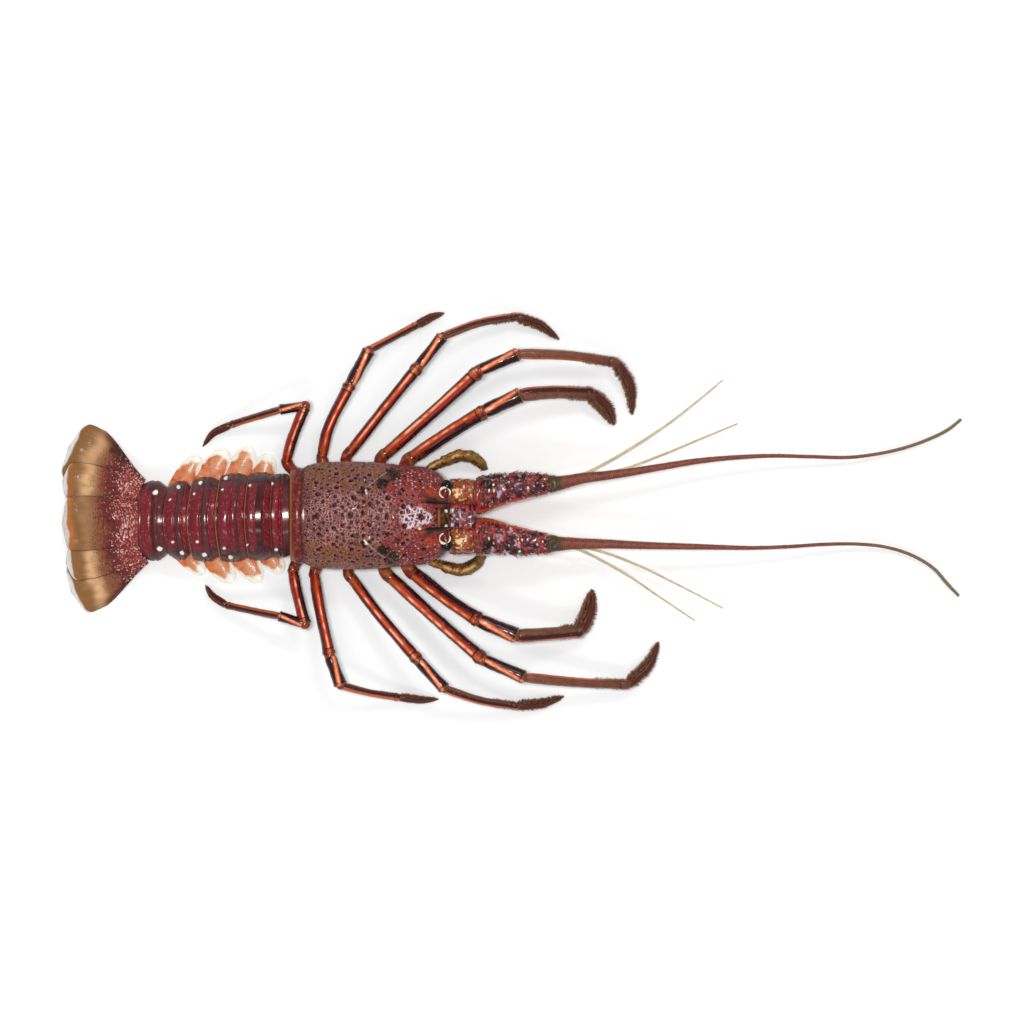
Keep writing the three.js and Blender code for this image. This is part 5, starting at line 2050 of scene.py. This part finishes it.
            # Rows of bristles: most on the inner side of the claw, the rest along its edges.
            row = np.floor(draw(n, 2.0) * 6)
            turn = np.array([1.9, 1.45, 1.0, 0.45, -0.9, -1.7])[row.astype(int)] + (draw(n, 3.0) - 0.5) * 0.3
            angle = turn * self.side
            girth = self.girths[3] * (np.interp(where, [0, 0.35, 0.6, 1], [0.8, 0.88, 0.75, 0.1]) if reach == 1 else 0.9)
            out = -flank[index] * np.sin(angle)[:, None] + top[index] * np.cos(angle)[:, None]
            feet.append(path[index] + out * (girth * 0.92)[:, None] if reach == 1 else path[index] + out * girth * 0.92)
            lean.append(out + heading[index] * 0.4)
            inward = np.where(turn > 0.3, 1.0, 0.7)
            size.append(reach * inward * mix(0.7, 1.0, draw(n, 4.0)) * np.interp(where, [0, 0.1, 0.85, 1], [0.6, 1, 0.8, 0.35]))
        return np.concatenate(feet), np.concatenate(lean), np.concatenate(size)

    def grow(self) -> None:
        """Builds the leg and its bristles, as two pieces."""
        title = f"leg_{'left' if self.side > 0 else 'right'}_{self.number}"
        shell = make_object(title + "_limb", self.skins(), [PALETTE.of(LIMB_SHELL)])
        feet, lean, size = self.bristles()
        length = (4.4, 4.2, 3.2, 2.0, 1.3)[self.number - 1]
        hair = SPIKES.grow(
            title + "_bristles",
            feet,
            lean,
            size,
            BRISTLE_HAIR,
            0.46 - 0.05 * self.number,
            length,
            sides=4,
            blunt=0.4,
            stray=0.35,
            uneven=0.4,
            seed=self.number * 2 + self.side,
        )
        low = np.empty(len(hair.data.vertices) * 3, np.float32)
        hair.data.vertices.foreach_get("co", low)
        low[2::3] = np.maximum(low[2::3], 0.0)
        hair.data.vertices.foreach_set("co", low)
        settle(shell, "leg", title)
        settle(hair, "leg")


def legs() -> list[Leg]:
    """The ten walking legs, front to back on each side."""
    left = (
        ((66, 13, 6), (76, 36, 8.5), (104.9, 55.2, 18), (126.2, 67.8, 27), (149.6, 78.4, 26),
         (171, 80.2, 18.5), (195.5, 79.6, 9.5), (204.6, 71.2, 5), (211, 59.6, 0.7)),
        ((55, 15, 6), (58, 37.2, 8.5), (91.4, 66.6, 18), (122.6, 94.3, 27), (148, 105, 26),
         (180.5, 104.2, 18), (212, 99.9, 9.5), (220.3, 86.5, 5), (222.6, 65.7, 0.7)),
        ((41, 16.5, 6), (35.4, 38, 8), (60.5, 69.8, 16.5), (83.2, 97.4, 25), (98.8, 116.6, 24),
         (122.2, 125.5, 16), (147, 130, 8), (161.5, 125, 4.4), (174.8, 115.2, 0.6)),
        ((26, 17.5, 6), (19.4, 38, 8), (23.6, 56, 13.5), (38.6, 85.6, 24), (50.8, 107.6, 22.5),
         (66, 116, 15), (81.2, 124.4, 7.6), (90.4, 129.6, 4.2), (99.4, 132.6, 0.6)),
        ((11, 17, 6), (-3.6, 35.6, 8.5), (-0.4, 47.4, 13.5), (9, 71.2, 23), (-7.4, 68.9, 21),
         (-23.8, 64.2, 14), (-40.2, 59.2, 7), (-51.4, 53.8, 4), (-58.7, 45, 0.6)),
    )
    right = (
        ((66, -13, 6), (77.4, -36, 8.5), (103.1, -55.7, 18), (122.8, -68.4, 27), (147, -78.3, 26),
         (167, -77.2, 18.5), (188.6, -75.4, 9.5), (193.9, -63.4, 5), (196.6, -48.6, 0.7)),
        ((55, -15, 6), (60.8, -37, 8.5), (93, -66.4, 18), (125.2, -93.8, 27), (152, -105.3, 26),
         (186, -108.7, 18), (219.8, -110.4, 9.5), (231.8, -99.4, 5), (239.8, -82.8, 0.7)),
        ((41, -16.5, 6), (36.8, -38, 8), (56, -63.4, 16.5), (82.8, -94.4, 25), (100, -112.8, 24),
         (122.8, -120.5, 16), (147, -124.6, 8), (163, -123.2, 4.4), (177.8, -118.6, 0.6)),
        ((26, -17.5, 6), (14.6, -38, 8), (17.2, -55, 13.5), (25.2, -91.4, 24), (32.2, -110.4, 22.5),
         (50.8, -115.5, 15), (69.8, -118.8, 7.6), (83.6, -120.6, 4.2), (95.8, -120.2, 0.6)),
        ((11, -17, 6), (0.6, -36, 8.5), (3, -48.6, 13.5), (8.9, -70.6, 23), (-8, -65.4, 21),
         (-25.6, -62.2, 14), (-43.2, -58.4, 7), (-51.8, -52.8, 4), (-56.9, -45.4, 0.6)),
    )
    girths = (
        (4.6, 5.9, 5.0, 4.5),
        (4.1, 5.5, 4.2, 3.35),
        (3.7, 5.0, 3.8, 2.8),
        (3.8, 5.0, 4.1, 2.55),
        (3.7, 4.8, 3.2, 2.45),
    )
    looks = (
        (Stripe(-0.5, 0.3), Stripe(-0.3, 0.62), Stripe(-1.1, 0.3), -0.05),
        (Stripe(-0.4, 0.3), Stripe(-0.1, 0.7), Stripe(1.0, 0.25), 0.25),
        (Stripe(-0.1, 0.24), Stripe(0.1, 0.6), Stripe(-0.9, 0.35), 0.4),
        (Stripe(0.15, 0.24), Stripe(0.2, 0.55), Stripe(-0.6, 0.4), 0.7),
        (Stripe(0.1, 0.16), Stripe(-0.5, 0.6), Stripe(-0.7, 0.35), 0.6),
    )
    made = []
    for side, points in ((1, left), (-1, right)):
        for i, row in enumerate(points):
            made.append(Leg(side, i + 1, row, girths[i], *looks[i]))
    return made


# ---------------------------------------------------------------- antennae


HEAD_AXIS = (-0.5, 1.1, 120.0, 134.0)  # the antennae's middle line, before and after it turns, and where


def head_axis(x: Array) -> Array:
    """The antennae's middle line at a station."""
    before, after, start, end = HEAD_AXIS
    return mix(before, after, smooth((x - start) / (end - start)))


@dataclass
class AntennaBase:
    """The stout stem of an antenna, with knobs and spines."""

    side: int
    height: float = 27
    rows: tuple[tuple[float, float, float, float], ...] = (
        (103.2, 15.6, 8.4, 9.5),
        (106, 15.4, 9.2, 11.0),
        (113, 15.3, 8.9, 11.4),
        (118.6, 15.2, 9.0, 10.6),
        (120.4, 13.6, 11.6, 10.2),
        (124, 13.3, 12.1, 10.6),
        (131, 14.6, 11.4, 9.8),
        (139, 16.0, 10.3, 8.9),
        (142, 16.5, 9.7, 8.2),
        (150, 17.6, 8.9, 8.0),
        (158, 18.5, 7.7, 7.3),
        (166, 19.1, 6.7, 6.6),
        (169, 19.2, 5.9, 5.6),
        (172.4, 19.3, 5.3, 5.2),
    )
    knobs: Net = Net(4.2, 75.0, 0.9)
    rings: int = 210
    around: int = 120

    def point(self, x: Array, angle: Array) -> Array:
        """A point of the stem at a station and an angle from the top, positive outwards."""
        wide, high = along(self.rows, x, 2), along(self.rows, x, 3)
        y = head_axis(x) + self.side * (along(self.rows, x, 1) + power(np.sin(angle), 0.8) * wide)
        return np.stack([x + 0 * angle, y, self.height + power(np.cos(angle), 0.8) * high], axis=-1)

    def grow(self) -> None:
        """Builds the stem, its knobs and its spines."""
        title = "left" if self.side > 0 else "right"
        stations = np.linspace(self.rows[0][0], self.rows[-1][0], self.rings)
        x, angle = np.meshgrid(stations, ring_angles(self.around), indexing="ij")
        points = self.point(x, angle)
        haze = cloud(points, 2.8, 71.0)
        fuzz = cloud(points, 1.5, 79.0)
        blotch = cloud(points, 4.5, 73.0)
        gap, _, lot = self.knobs.read(x, angle * 9)
        lap = smooth((x - 118) / 5)
        knob = np.clip(1 - (gap / mix(1.2, 2.0, lot)) ** 2, 0, 1) * lap * (1 - smooth((x - 166) / 4))
        joint = hump(x, 119.4, 0.8) + 0.8 * hump(x, 141.0, 0.7) + 0.7 * hump(x, 168.0, 0.6)
        folds = 1.4 * (cloud(points, 5.0, 77.0) - 0.5) * (1 - lap)
        inner = smooth((-angle - 0.75) / 0.25) * (1 - smooth((-angle - 2.3) / 0.3))
        relief = (0.9 * knob + 1.3 * (haze - 0.5)) * (1 - 0.85 * inner) + folds - 0.9 * joint
        # Jewels are pale lilac spots; caves are dark pockets painted as shade.
        jewels = ((135.5, -1.0, 2.0), (147.0, 1.5, 1.4), (154.0, -2.0, 1.2), (143.0, -4.5, 1.2), (131, 7, 1.2))
        caves = ((129.0, 3.4, 3.2), (126.0, 6.2, 2.4), (149.0, 6.5, 2.0), (140.6, 3.0, 1.8), (160, 2.0, 1.6))
        astray_x, astray_v = x + 5 * (fuzz - 0.5), angle * 9 + 5 * (cloud(points, 1.9, 83.0) - 0.5)
        jewel = blots(astray_x, astray_v, jewels, 1.0)
        marks = {
            "amber": (1 - lap) * mix(0.4, 1.0, haze),
            # cream: painted highlights on the base segment, strongest on its top
            "cream": (1 - lap) * smooth((fuzz + 0.4 * hump(x, 108.5, 4.5) * hump(angle, 0.1, 0.5) - 0.8) / 0.14),
            "plum": lap * smooth((blotch - 0.46) / 0.12) * smooth((x - 130) / 10) * 0.9,
            "rose": np.clip(
                lap * smooth((0.52 - blotch) / 0.15) * mix(0.2, 0.9, fuzz)
                + hump(x, 119.5, 3.4) * hump(angle, -0.8, 0.6) * mix(0.5, 1, fuzz),
                0,
                1,
            ),
            "lilac": np.clip(lap * jewel * mix(0.2, 1.1, fuzz), 0, 1),
            # black: painted shade in the caves and in the lowest hollows of the relief, and dark joint lines
            "black": np.clip(
                blots(astray_x, astray_v, caves, 0.7) * (1 - jewel)
                + 0.85 * smooth((0.34 - haze) / 0.08) * lap
                + 0.5 * joint
                + 0.5 * (1 - lap) * smooth((0.3 - haze) / 0.08),
                0,
                1,
            ),
            "olive": band(x, 167, 172.6, 2.5),
            "strip": inner * band(x, 121, 158, 6) * mix(0.75, 1, haze),
            # white: painted highlights on the tops of the knobs
            "white": smooth((knob - mix(0.78, 1.02, fuzz)) / 0.1) * (lot > 0.66) * lap * (1 - inner),
        }
        skin = Skin(raised(points, relief), marks)
        stem = make_object(f"antenna_stem_{title}", [skin], [PALETTE.of(KNOBBLY_SHELL)])
        settle(stem, "antenna", f"antenna_base_{title}")
        u, v, draws = self.knobs.spots((122, 169), (-12, 20))
        n = np.arange(8, dtype=float)
        u = np.concatenate([u, 121.5 + 6.2 * n + 3 * (draw(n, 4.0) - 0.5)])
        v = np.concatenate([v, 11.5 + 6 * (draw(n, 3.0) - 0.5)])
        turn = v / 9
        sizes = np.concatenate([mix(0.3, 0.75, draws**2), mix(0.7, 1.9, draw(n, 2.0) ** 1.6)])
        lean = np.stack([np.full(u.shape, 1.0), self.side * np.sin(turn), np.cos(turn)], axis=-1)
        spines = SPIKES.grow(
            f"antenna_spines_{title}",
            self.point(u, turn) + lean * (0.3 - 0.5 * np.minimum(sizes, 1))[:, None],
            lean,
            sizes,
            SPINE_HORN,
            0.95,
            2.4,
            sides=8,
            blunt=0.16,
            stray=0.2,
            seed=21,
        )
        settle(spines, "antenna")


@dataclass
class AntennaLash:
    """The long ringed lash of an antenna."""

    side: int
    rows: tuple[tuple[float, float, float, float], ...]

    def grow(self) -> None:
        """Builds the lash and its prickles."""
        title = "left" if self.side > 0 else "right"
        # The lash starts inside the stem's last ring, so that no gap shows between them.
        spots = [(169.5, self.rows[0][1] - 0.4 * self.side, 27.0), *(row[:3] for row in self.rows)]
        path = curve(spots, 400)
        reach = np.concatenate([[0], np.cumsum(np.linalg.norm(np.diff(path, axis=0), axis=1))])
        given = np.array(spots)
        marks_at = np.concatenate([[0], np.cumsum(np.linalg.norm(np.diff(given, axis=0), axis=1))])
        thick = [self.rows[0][3], *(row[3] for row in self.rows)]
        girth = np.interp(reach / reach[-1], marks_at / marks_at[-1], thick)
        marks = {
            "tip": smooth((reach - 170) / 90),
            "olive": 1 - smooth((reach - 4.5) / 4),
        }
        lash = LASH.draw_out(
            f"antenna_lash_{title}", path, girth, marks, LASH_HORN, pitch=1.15, depth=0.10, sides=14
        )
        settle(lash, "antenna", f"antenna_whip_{title}")
        n = np.arange(150, dtype=float)
        where = draw(n, 5.0) ** 1.3 * 0.8
        index = (where * 399).astype(int)
        heading = np.gradient(path, axis=0)[index]
        heading /= np.linalg.norm(heading, axis=1, keepdims=True)
        flank = np.cross([0.0, 0.0, 1.0], heading)
        turn = np.where(draw(n, 6.0) > 0.5, 1.35, -1.35) + (draw(n, 7.0) - 0.5) * 1.2
        out = flank * np.sin(turn)[:, None] + np.array([0, 0, 1.0]) * np.cos(turn)[:, None]
        prickles = SPIKES.grow(
            f"antenna_prickles_{title}",
            path[index] + out * (girth[index] * 0.93)[:, None],
            out + heading * 1.1,
            mix(0.6, 1.2, draw(n, 8.0)) * np.interp(where, [0, 0.2, 1], [1.5, 1, 0.5]),
            SPINE_HORN,
            0.24,
            0.85,
            sides=5,
            seed=31,
        )
        settle(prickles, "antenna")


@dataclass
class Antennule:
    """A forked feeler between the antennae."""

    side: int
    stem: tuple[Point, ...]
    whips: tuple[tuple[Point, ...], ...]

    def grow(self) -> None:
        """Builds the stem and its two whips as one piece."""
        title = "left" if self.side > 0 else "right"
        path = curve(self.stem, 60)
        pieces = [
            LASH.draw_out(
                "stem", path, np.linspace(1.75, 1.45, 60), {}, STRAW_HORN, pitch=14.0, depth=0.16, steps=14, sides=16
            )
        ]
        for points in self.whips:
            line = curve(points, 120)
            girth = np.linspace(0.98, 0.45, 120)
            pieces.append(LASH.draw_out("whip", line, girth, {}, STRAW_HORN, pitch=1.3, depth=0.12, sides=8))
        piece = join(f"antennule_{title}_whips", pieces)
        settle(piece, "antennule", f"antennule_{title}")


@dataclass
class Maxilliped:
    """The small bent feeler beside the head, with its brush."""

    side: int
    rows: tuple[tuple[float, float, float, float], ...]

    def grow(self) -> None:
        """Builds the feeler and its hairs."""
        title = "left" if self.side > 0 else "right"
        path = curve([row[:3] for row in self.rows], 90)
        given = np.array([row[:3] for row in self.rows])
        marks_at = np.concatenate([[0], np.cumsum(np.linalg.norm(np.diff(given, axis=0), axis=1))])
        t = np.linspace(0, 1, 90)
        girth = np.interp(t, marks_at / marks_at[-1], [row[3] for row in self.rows])
        pinch = 1.12 - 0.2 * hump(t, 0.36, 0.02) - 0.25 * hump(t, 0.66, 0.02)
        turn = ring_angles(40)
        corners = tube(path, girth * pinch, turn * self.side, 1.0)
        grid_t, grid_turn = np.meshgrid(t, turn, indexing="ij")
        haze = cloud(corners, 2.5, 81.0)
        fuzz = cloud(corners, 1.2, 85.0)
        ridge = Stripe(-0.1, 0.22).on(grid_turn) * (1 - smooth((grid_t - 0.75) / 0.1))
        marks = {
            "cream": ridge * smooth((haze - 0.35) / 0.25) * mix(0.3, 1.0, fuzz),
            "black": np.clip(
                0.85 * Stripe(0.75, 0.35).on(grid_turn) * smooth((haze - 0.3) / 0.2)
                + 0.8 * smooth((np.abs(grid_turn) - 1.1) / 0.3)
                + 0.6 * smooth((fuzz - 0.56) / 0.14) * (1 - 0.7 * ridge),
                0,
                1,
            ),
            "olive": smooth((grid_t - 0.6) / 0.15) * 0.8,
        }
        skin = Skin(raised(corners, 1.4 * (haze - 0.5) + 0.7 * (fuzz - 0.5)), marks)
        shell = make_object(f"maxilliped_{title}_limb", [skin], [PALETTE.of(FEELER_SHELL)])
        settle(shell, "maxilliped", f"maxilliped_{title}")
        n = np.arange(640, dtype=float) + 3 * self.side
        where = 0.3 + 0.69 * draw(n, 9.0)
        index = (where * 89).astype(int)
        heading = np.gradient(path, axis=0)[index]
        heading /= np.linalg.norm(heading, axis=1, keepdims=True)
        flank = np.cross([0.0, 0.0, 1.0], heading)
        flank /= np.linalg.norm(flank, axis=1, keepdims=True)
        angle = (0.3 + 2.2 * draw(n, 10.0)) * self.side
        out = -flank * np.sin(angle)[:, None] + np.array([0, 0, 1.0]) * np.cos(angle)[:, None]
        hair = SPIKES.grow(
            f"maxilliped_{title}_hair",
            path[index] + out * (girth[index] * 0.9)[:, None],
            out + heading * 0.5,
            mix(0.5, 1.0, draw(n, 12.0)),
            BRISTLE_HAIR,
            0.3,
            2.3,
            sides=4,
            blunt=0.4,
            stray=0.4,
            uneven=0.4,
            seed=41,
        )
        settle(hair, "maxilliped")


def head_parts() -> list[AntennaBase | AntennaLash | Antennule | Maxilliped | Eye]:
    """Everything on the head in front of the carapace."""
    lashes = {
        1: (
            (172.9, 20.8, 27, 5.0), (180, 22.2, 26.8, 4.2), (188, 24, 26.4, 3.7), (204, 25.9, 25.6, 3.1),
            (220, 28.1, 24.6, 2.7), (236, 30.8, 23.4, 2.4), (263, 35.2, 20.6, 2.0), (285, 37.5, 17.8, 1.6),
            (312, 38.9, 14, 1.3), (338, 38.4, 10.2, 1.2), (364, 38, 6.6, 1.15), (382, 40.2, 4.4, 1.1),
            (399, 43.9, 2.8, 1.1), (415, 49.4, 1.8, 1.1), (428.6, 56, 1.4, 1.1), (437.4, 62.9, 1.3, 0.9),
        ),
        -1: (
            (172.9, -18.4, 27, 5.0), (180, -18.2, 26.8, 4.2), (188, -18.3, 26.4, 3.7), (204, -18.5, 25.6, 3.1),
            (220, -19.1, 24.6, 2.7), (236, -19.7, 23.4, 2.4), (263, -20.3, 20.6, 2.0), (282, -20.8, 18.2, 1.6),
            (301, -21.1, 15.6, 1.3), (324, -20.3, 12.4, 1.2), (348, -18.8, 8.8, 1.15), (370, -18.7, 5.8, 1.1),
            (388, -20.7, 3.8, 1.1), (405, -26, 2.4, 1.1), (419.5, -34.8, 1.6, 1.1), (428.6, -45, 1.4, 1.1),
            (435.9, -52.6, 1.3, 0.9),
        ),
    }
    forks = {
        1: (
            ((119.6, 2.6, 17.5), (128, 6, 14.4), (150, 15, 12.6), (184, 24.8, 11.4)),
            (
                ((182, 24.2, 11.4), (195.3, 29.4, 11.6), (241.6, 57.2, 9), (262.6, 73.1, 5.6), (281.4, 88.6, 1.2)),
                ((182, 24.2, 11.4), (214.5, 29.9, 10.8), (241.6, 39.6, 9), (265.9, 49.7, 5.8), (291.2, 60.1, 1.2)),
            ),
        ),
        -1: (
            ((119.6, -3.6, 17.5), (128, -7, 14.4), (150, -13, 12.6), (180, -19.6, 11.4)),
            (
                ((178, -19.2, 11.4), (189.8, -23.4, 11.6), (218.9, -39.1, 10), (239.8, -53.2, 6.4), (263, -68.6, 1.2)),
                ((178, -19.2, 11.4), (198.2, -22.6, 11), (224.9, -32.2, 9.6), (247, -42.8, 6.4), (281.6, -60.6, 1.2)),
            ),
        ),
    }
    palps = {
        1: (
            (84, 22, 8, 2.0), (89.5, 30.4, 8.6, 2.2), (96, 34.2, 9.2, 2.7), (103.2, 37.2, 9.6, 3.2),
            (110.5, 39.4, 9.2, 3.4), (117.2, 38.2, 7.8, 3.2), (123, 34.6, 5.6, 2.8), (126.2, 30.4, 3.4, 1.6),
        ),
        -1: (
            (84, -22, 8, 2.0), (92.3, -30.6, 8.6, 2.4), (101.4, -33.8, 9.4, 3.1), (110.4, -35.8, 9.2, 3.6),
            (116.6, -33.8, 7.8, 3.6), (122, -29.8, 5.8, 3.0), (125, -26.4, 3.6, 1.8),
        ),
    }
    made = []
    for side in (1, -1):
        made += [Eye(side), AntennaBase(side), AntennaLash(side, lashes[side])]
        made += [Antennule(side, *forks[side]), Maxilliped(side, palps[side])]
    return made


# ---------------------------------------------------------------- under and between


@dataclass
class BreastPlate:
    """The flat plate under the thorax, with a seam for each pair of legs."""

    rear: float = 4
    front: float = 84
    widths: tuple[float, float] = (15.5, 6.5)
    height: float = 11.4
    chamfer: float = 2

    def grow(self) -> None:
        """Builds the plate."""
        t, angle = np.meshgrid(np.linspace(0, 1, 90), ring_angles(96), indexing="ij")
        w = mix(self.widths[0], self.widths[1], t)
        half = self.height / 2
        y = -power(np.sin(angle), 0.35) * w
        z = half + power(np.cos(angle), 0.35) * half
        x = mix(self.rear, self.front, t)
        seam = np.clip(1 - np.abs(((x - 11) / 14 + 0.5) % 1 - 0.5) / 0.05, 0, 1)
        below = np.where(z < half, 1.0, 0.0)
        lifted = 0.5 * seam * below * smooth((np.abs(y) - 1) / 3)
        points = np.stack([x, y * (1 - 0.05 * seam), np.maximum(z + lifted, 0.0)], axis=-1)
        marks = {"rust": np.clip(0.7 * seam + 0.6 * hump(y, 0, 0.8) * below, 0, 1)}
        piece = make_object("breast_plate", [Skin(points, marks)], [PALETTE.of(BELLY_SHELL)])
        settle(piece, "belly", "sternum")


@dataclass
class AntennularPlate:
    """The plate between the antenna stems, purple with white mottles."""

    rear: float = 102.6
    front: float = 121
    half: float = 5.4
    top: float = 36
    bottom: float = 15
    brim: float = 4.6

    def grow(self) -> None:
        """Builds the plate, which spreads over the stems on both sides of it."""
        t, angle = np.meshgrid(np.linspace(0, 1, 110), ring_angles(130), indexing="ij")
        shrink = (1 - 0.35 * smooth((t - 0.8) / 0.2)) * smooth((t + 0.12) / 0.2)
        tall = (self.top - self.bottom) / 2
        x = mix(self.rear, self.front, t)
        upper = smooth((1.75 - np.abs(angle)) / 0.35)
        wide = (self.half + self.brim * upper) * shrink
        y = HEAD_AXIS[0] - 1.0 - power(np.sin(angle), 0.7) * wide
        z = (self.top + self.bottom) / 2 + power(np.cos(angle), 0.7) * tall * shrink
        z = z + 2.2 * upper * (1 - 0.3 * np.abs(y + 1.5) / 10) * shrink
        points = np.stack([x, y, z], axis=-1)
        haze = cloud(points, 2.2, 91.0)
        fuzz = cloud(points, 1.3, 95.0)
        blotch = cloud(points, 4.0, 93.0)
        side = smooth((np.abs(y + 1.5) - 5) / 2.5)
        rear = 1 - smooth((t - 0.15) / 0.4)
        marks = {
            "plum": 0.85 * (1 - 0.8 * side) * np.ones(t.shape),
            "rose": np.clip(smooth((blotch - 0.42) / 0.2) * 0.6 + side * mix(0.3, 1, fuzz), 0, 1),
            "amber": 0.7 * side * smooth((haze - 0.5) / 0.1),
            "lilac": smooth((haze - 0.6) / 0.12) * mix(0.25, 0.85, rear) * (1 - side) * mix(0.3, 1, fuzz),
            "white": smooth((fuzz - 0.84) / 0.06) * mix(0.3, 1.0, rear) * (1 - 0.6 * side),
            "black": 0.9 * smooth((0.3 - haze) / 0.08),
        }
        skin = Skin(raised(points, 1.6 * (haze - 0.5) * shrink), marks)
        piece = make_object("antennular_shield", [skin], [PALETTE.of(KNOBBLY_SHELL)])
        settle(piece, "carapace", "antennular_plate")


# ---------------------------------------------------------------- studio


@dataclass
class Studio:
    """A pale floor, soft lamps and a camera straight above, as in the photograph.

    Attributes:
        view: What the camera takes in across the picture, in metres.
        centre: The middle of the picture in the shared frame.
        level: Height of the plane that the picture's scale is true on.
        lens: Focal length in millimetres, long as in a packshot.
        sensor: Width of the sensor in millimetres.
    """

    view: float = 0.6656
    centre: tuple[float, float] = (-0.00002, -0.000445)
    level: float = 0.025
    lens: float = 200.0
    sensor: float = 36.0

    def camera(self) -> None:
        """Sets the camera straight above, with the head to the right."""
        data = bpy.data.cameras.new("camera")
        data.lens = self.lens
        data.sensor_width = self.sensor
        data.clip_end = 20.0
        eye = bpy.data.objects.new("camera", data)
        distance = self.view * self.lens / self.sensor
        eye.location = (*self.centre, self.level + distance)
        bpy.context.scene.collection.objects.link(eye)
        bpy.context.scene.camera = eye

    def lamp(self, name: str, at: Point, size: tuple[float, float], power_: float) -> None:
        """Hangs a soft lamp that faces the middle of the table.

        Args:
            name: Its name.
            at: Where it hangs, in metres.
            size: Its two sides in metres.
            power_: Its power in watts.
        """
        data = bpy.data.lights.new(name, "AREA")
        data.shape = "RECTANGLE"
        data.size, data.size_y = size
        data.energy = power_
        lamp = bpy.data.objects.new(name, data)
        lamp.location = at
        direction = -np.array(at)
        lamp.rotation_euler = (
            math.atan2(math.hypot(direction[0], direction[1]), -direction[2]),
            0.0,
            math.atan2(direction[0], -direction[1]) if at[0] or at[1] else 0.0,
        )
        bpy.context.scene.collection.objects.link(lamp)

    def floor(self) -> None:
        """Lays a plain pale floor."""
        mesh = bpy.data.meshes.new("floor")
        reach = 4.0
        corners = [(-reach, -reach, 0), (reach, -reach, 0), (reach, reach, 0), (-reach, reach, 0)]
        mesh.from_pydata(corners, [], [(0, 1, 2, 3)])
        table = bpy.data.objects.new("floor", mesh)
        paper = bpy.data.materials.new("Paper, matt white")
        paper.use_nodes = True
        shader = paper.node_tree.nodes["Principled BSDF"]
        shader.inputs["Base Color"].default_value = linear("#ffffff")
        shader.inputs["Roughness"].default_value = 0.9
        shader.inputs["Specular IOR Level"].default_value = 0.1
        mesh.materials.append(paper)
        table.location.z = -0.0002
        bpy.context.scene.collection.objects.link(table)

    def world(self) -> None:
        """Fills the room with even pale light."""
        world = bpy.data.worlds.new("room")
        world.use_nodes = True
        sky = world.node_tree.nodes["Background"]
        sky.inputs["Color"].default_value = (1.0, 1.0, 1.0, 1.0)
        sky.inputs["Strength"].default_value = 0.38
        bpy.context.scene.world = world
        bpy.context.scene.view_settings.view_transform = "Standard"

    def build(self) -> None:
        """Builds the whole studio."""
        self.camera()
        self.floor()
        self.world()
        self.lamp("key", (0.5, 1.1, 1.7), (0.6, 0.6), 16.0)
        self.lamp("fill", (-0.3, -1.2, 1.6), (0.8, 0.8), 12.0)
        self.lamp("top", (-0.2, 0.03, 2.2), (0.22, 0.36), 27.0)


# ---------------------------------------------------------------- all together


def main() -> None:
    """Builds the studio and every piece, in order from the trunk outwards."""
    Studio().build()
    Carapace().grow()
    for piece in (BreastPlate(), AntennularPlate(), *tail_rings(), *fan_plates(), *pleopods(), *legs(), *head_parts()):
        piece.grow()


if __name__ == "__main__":
    main()
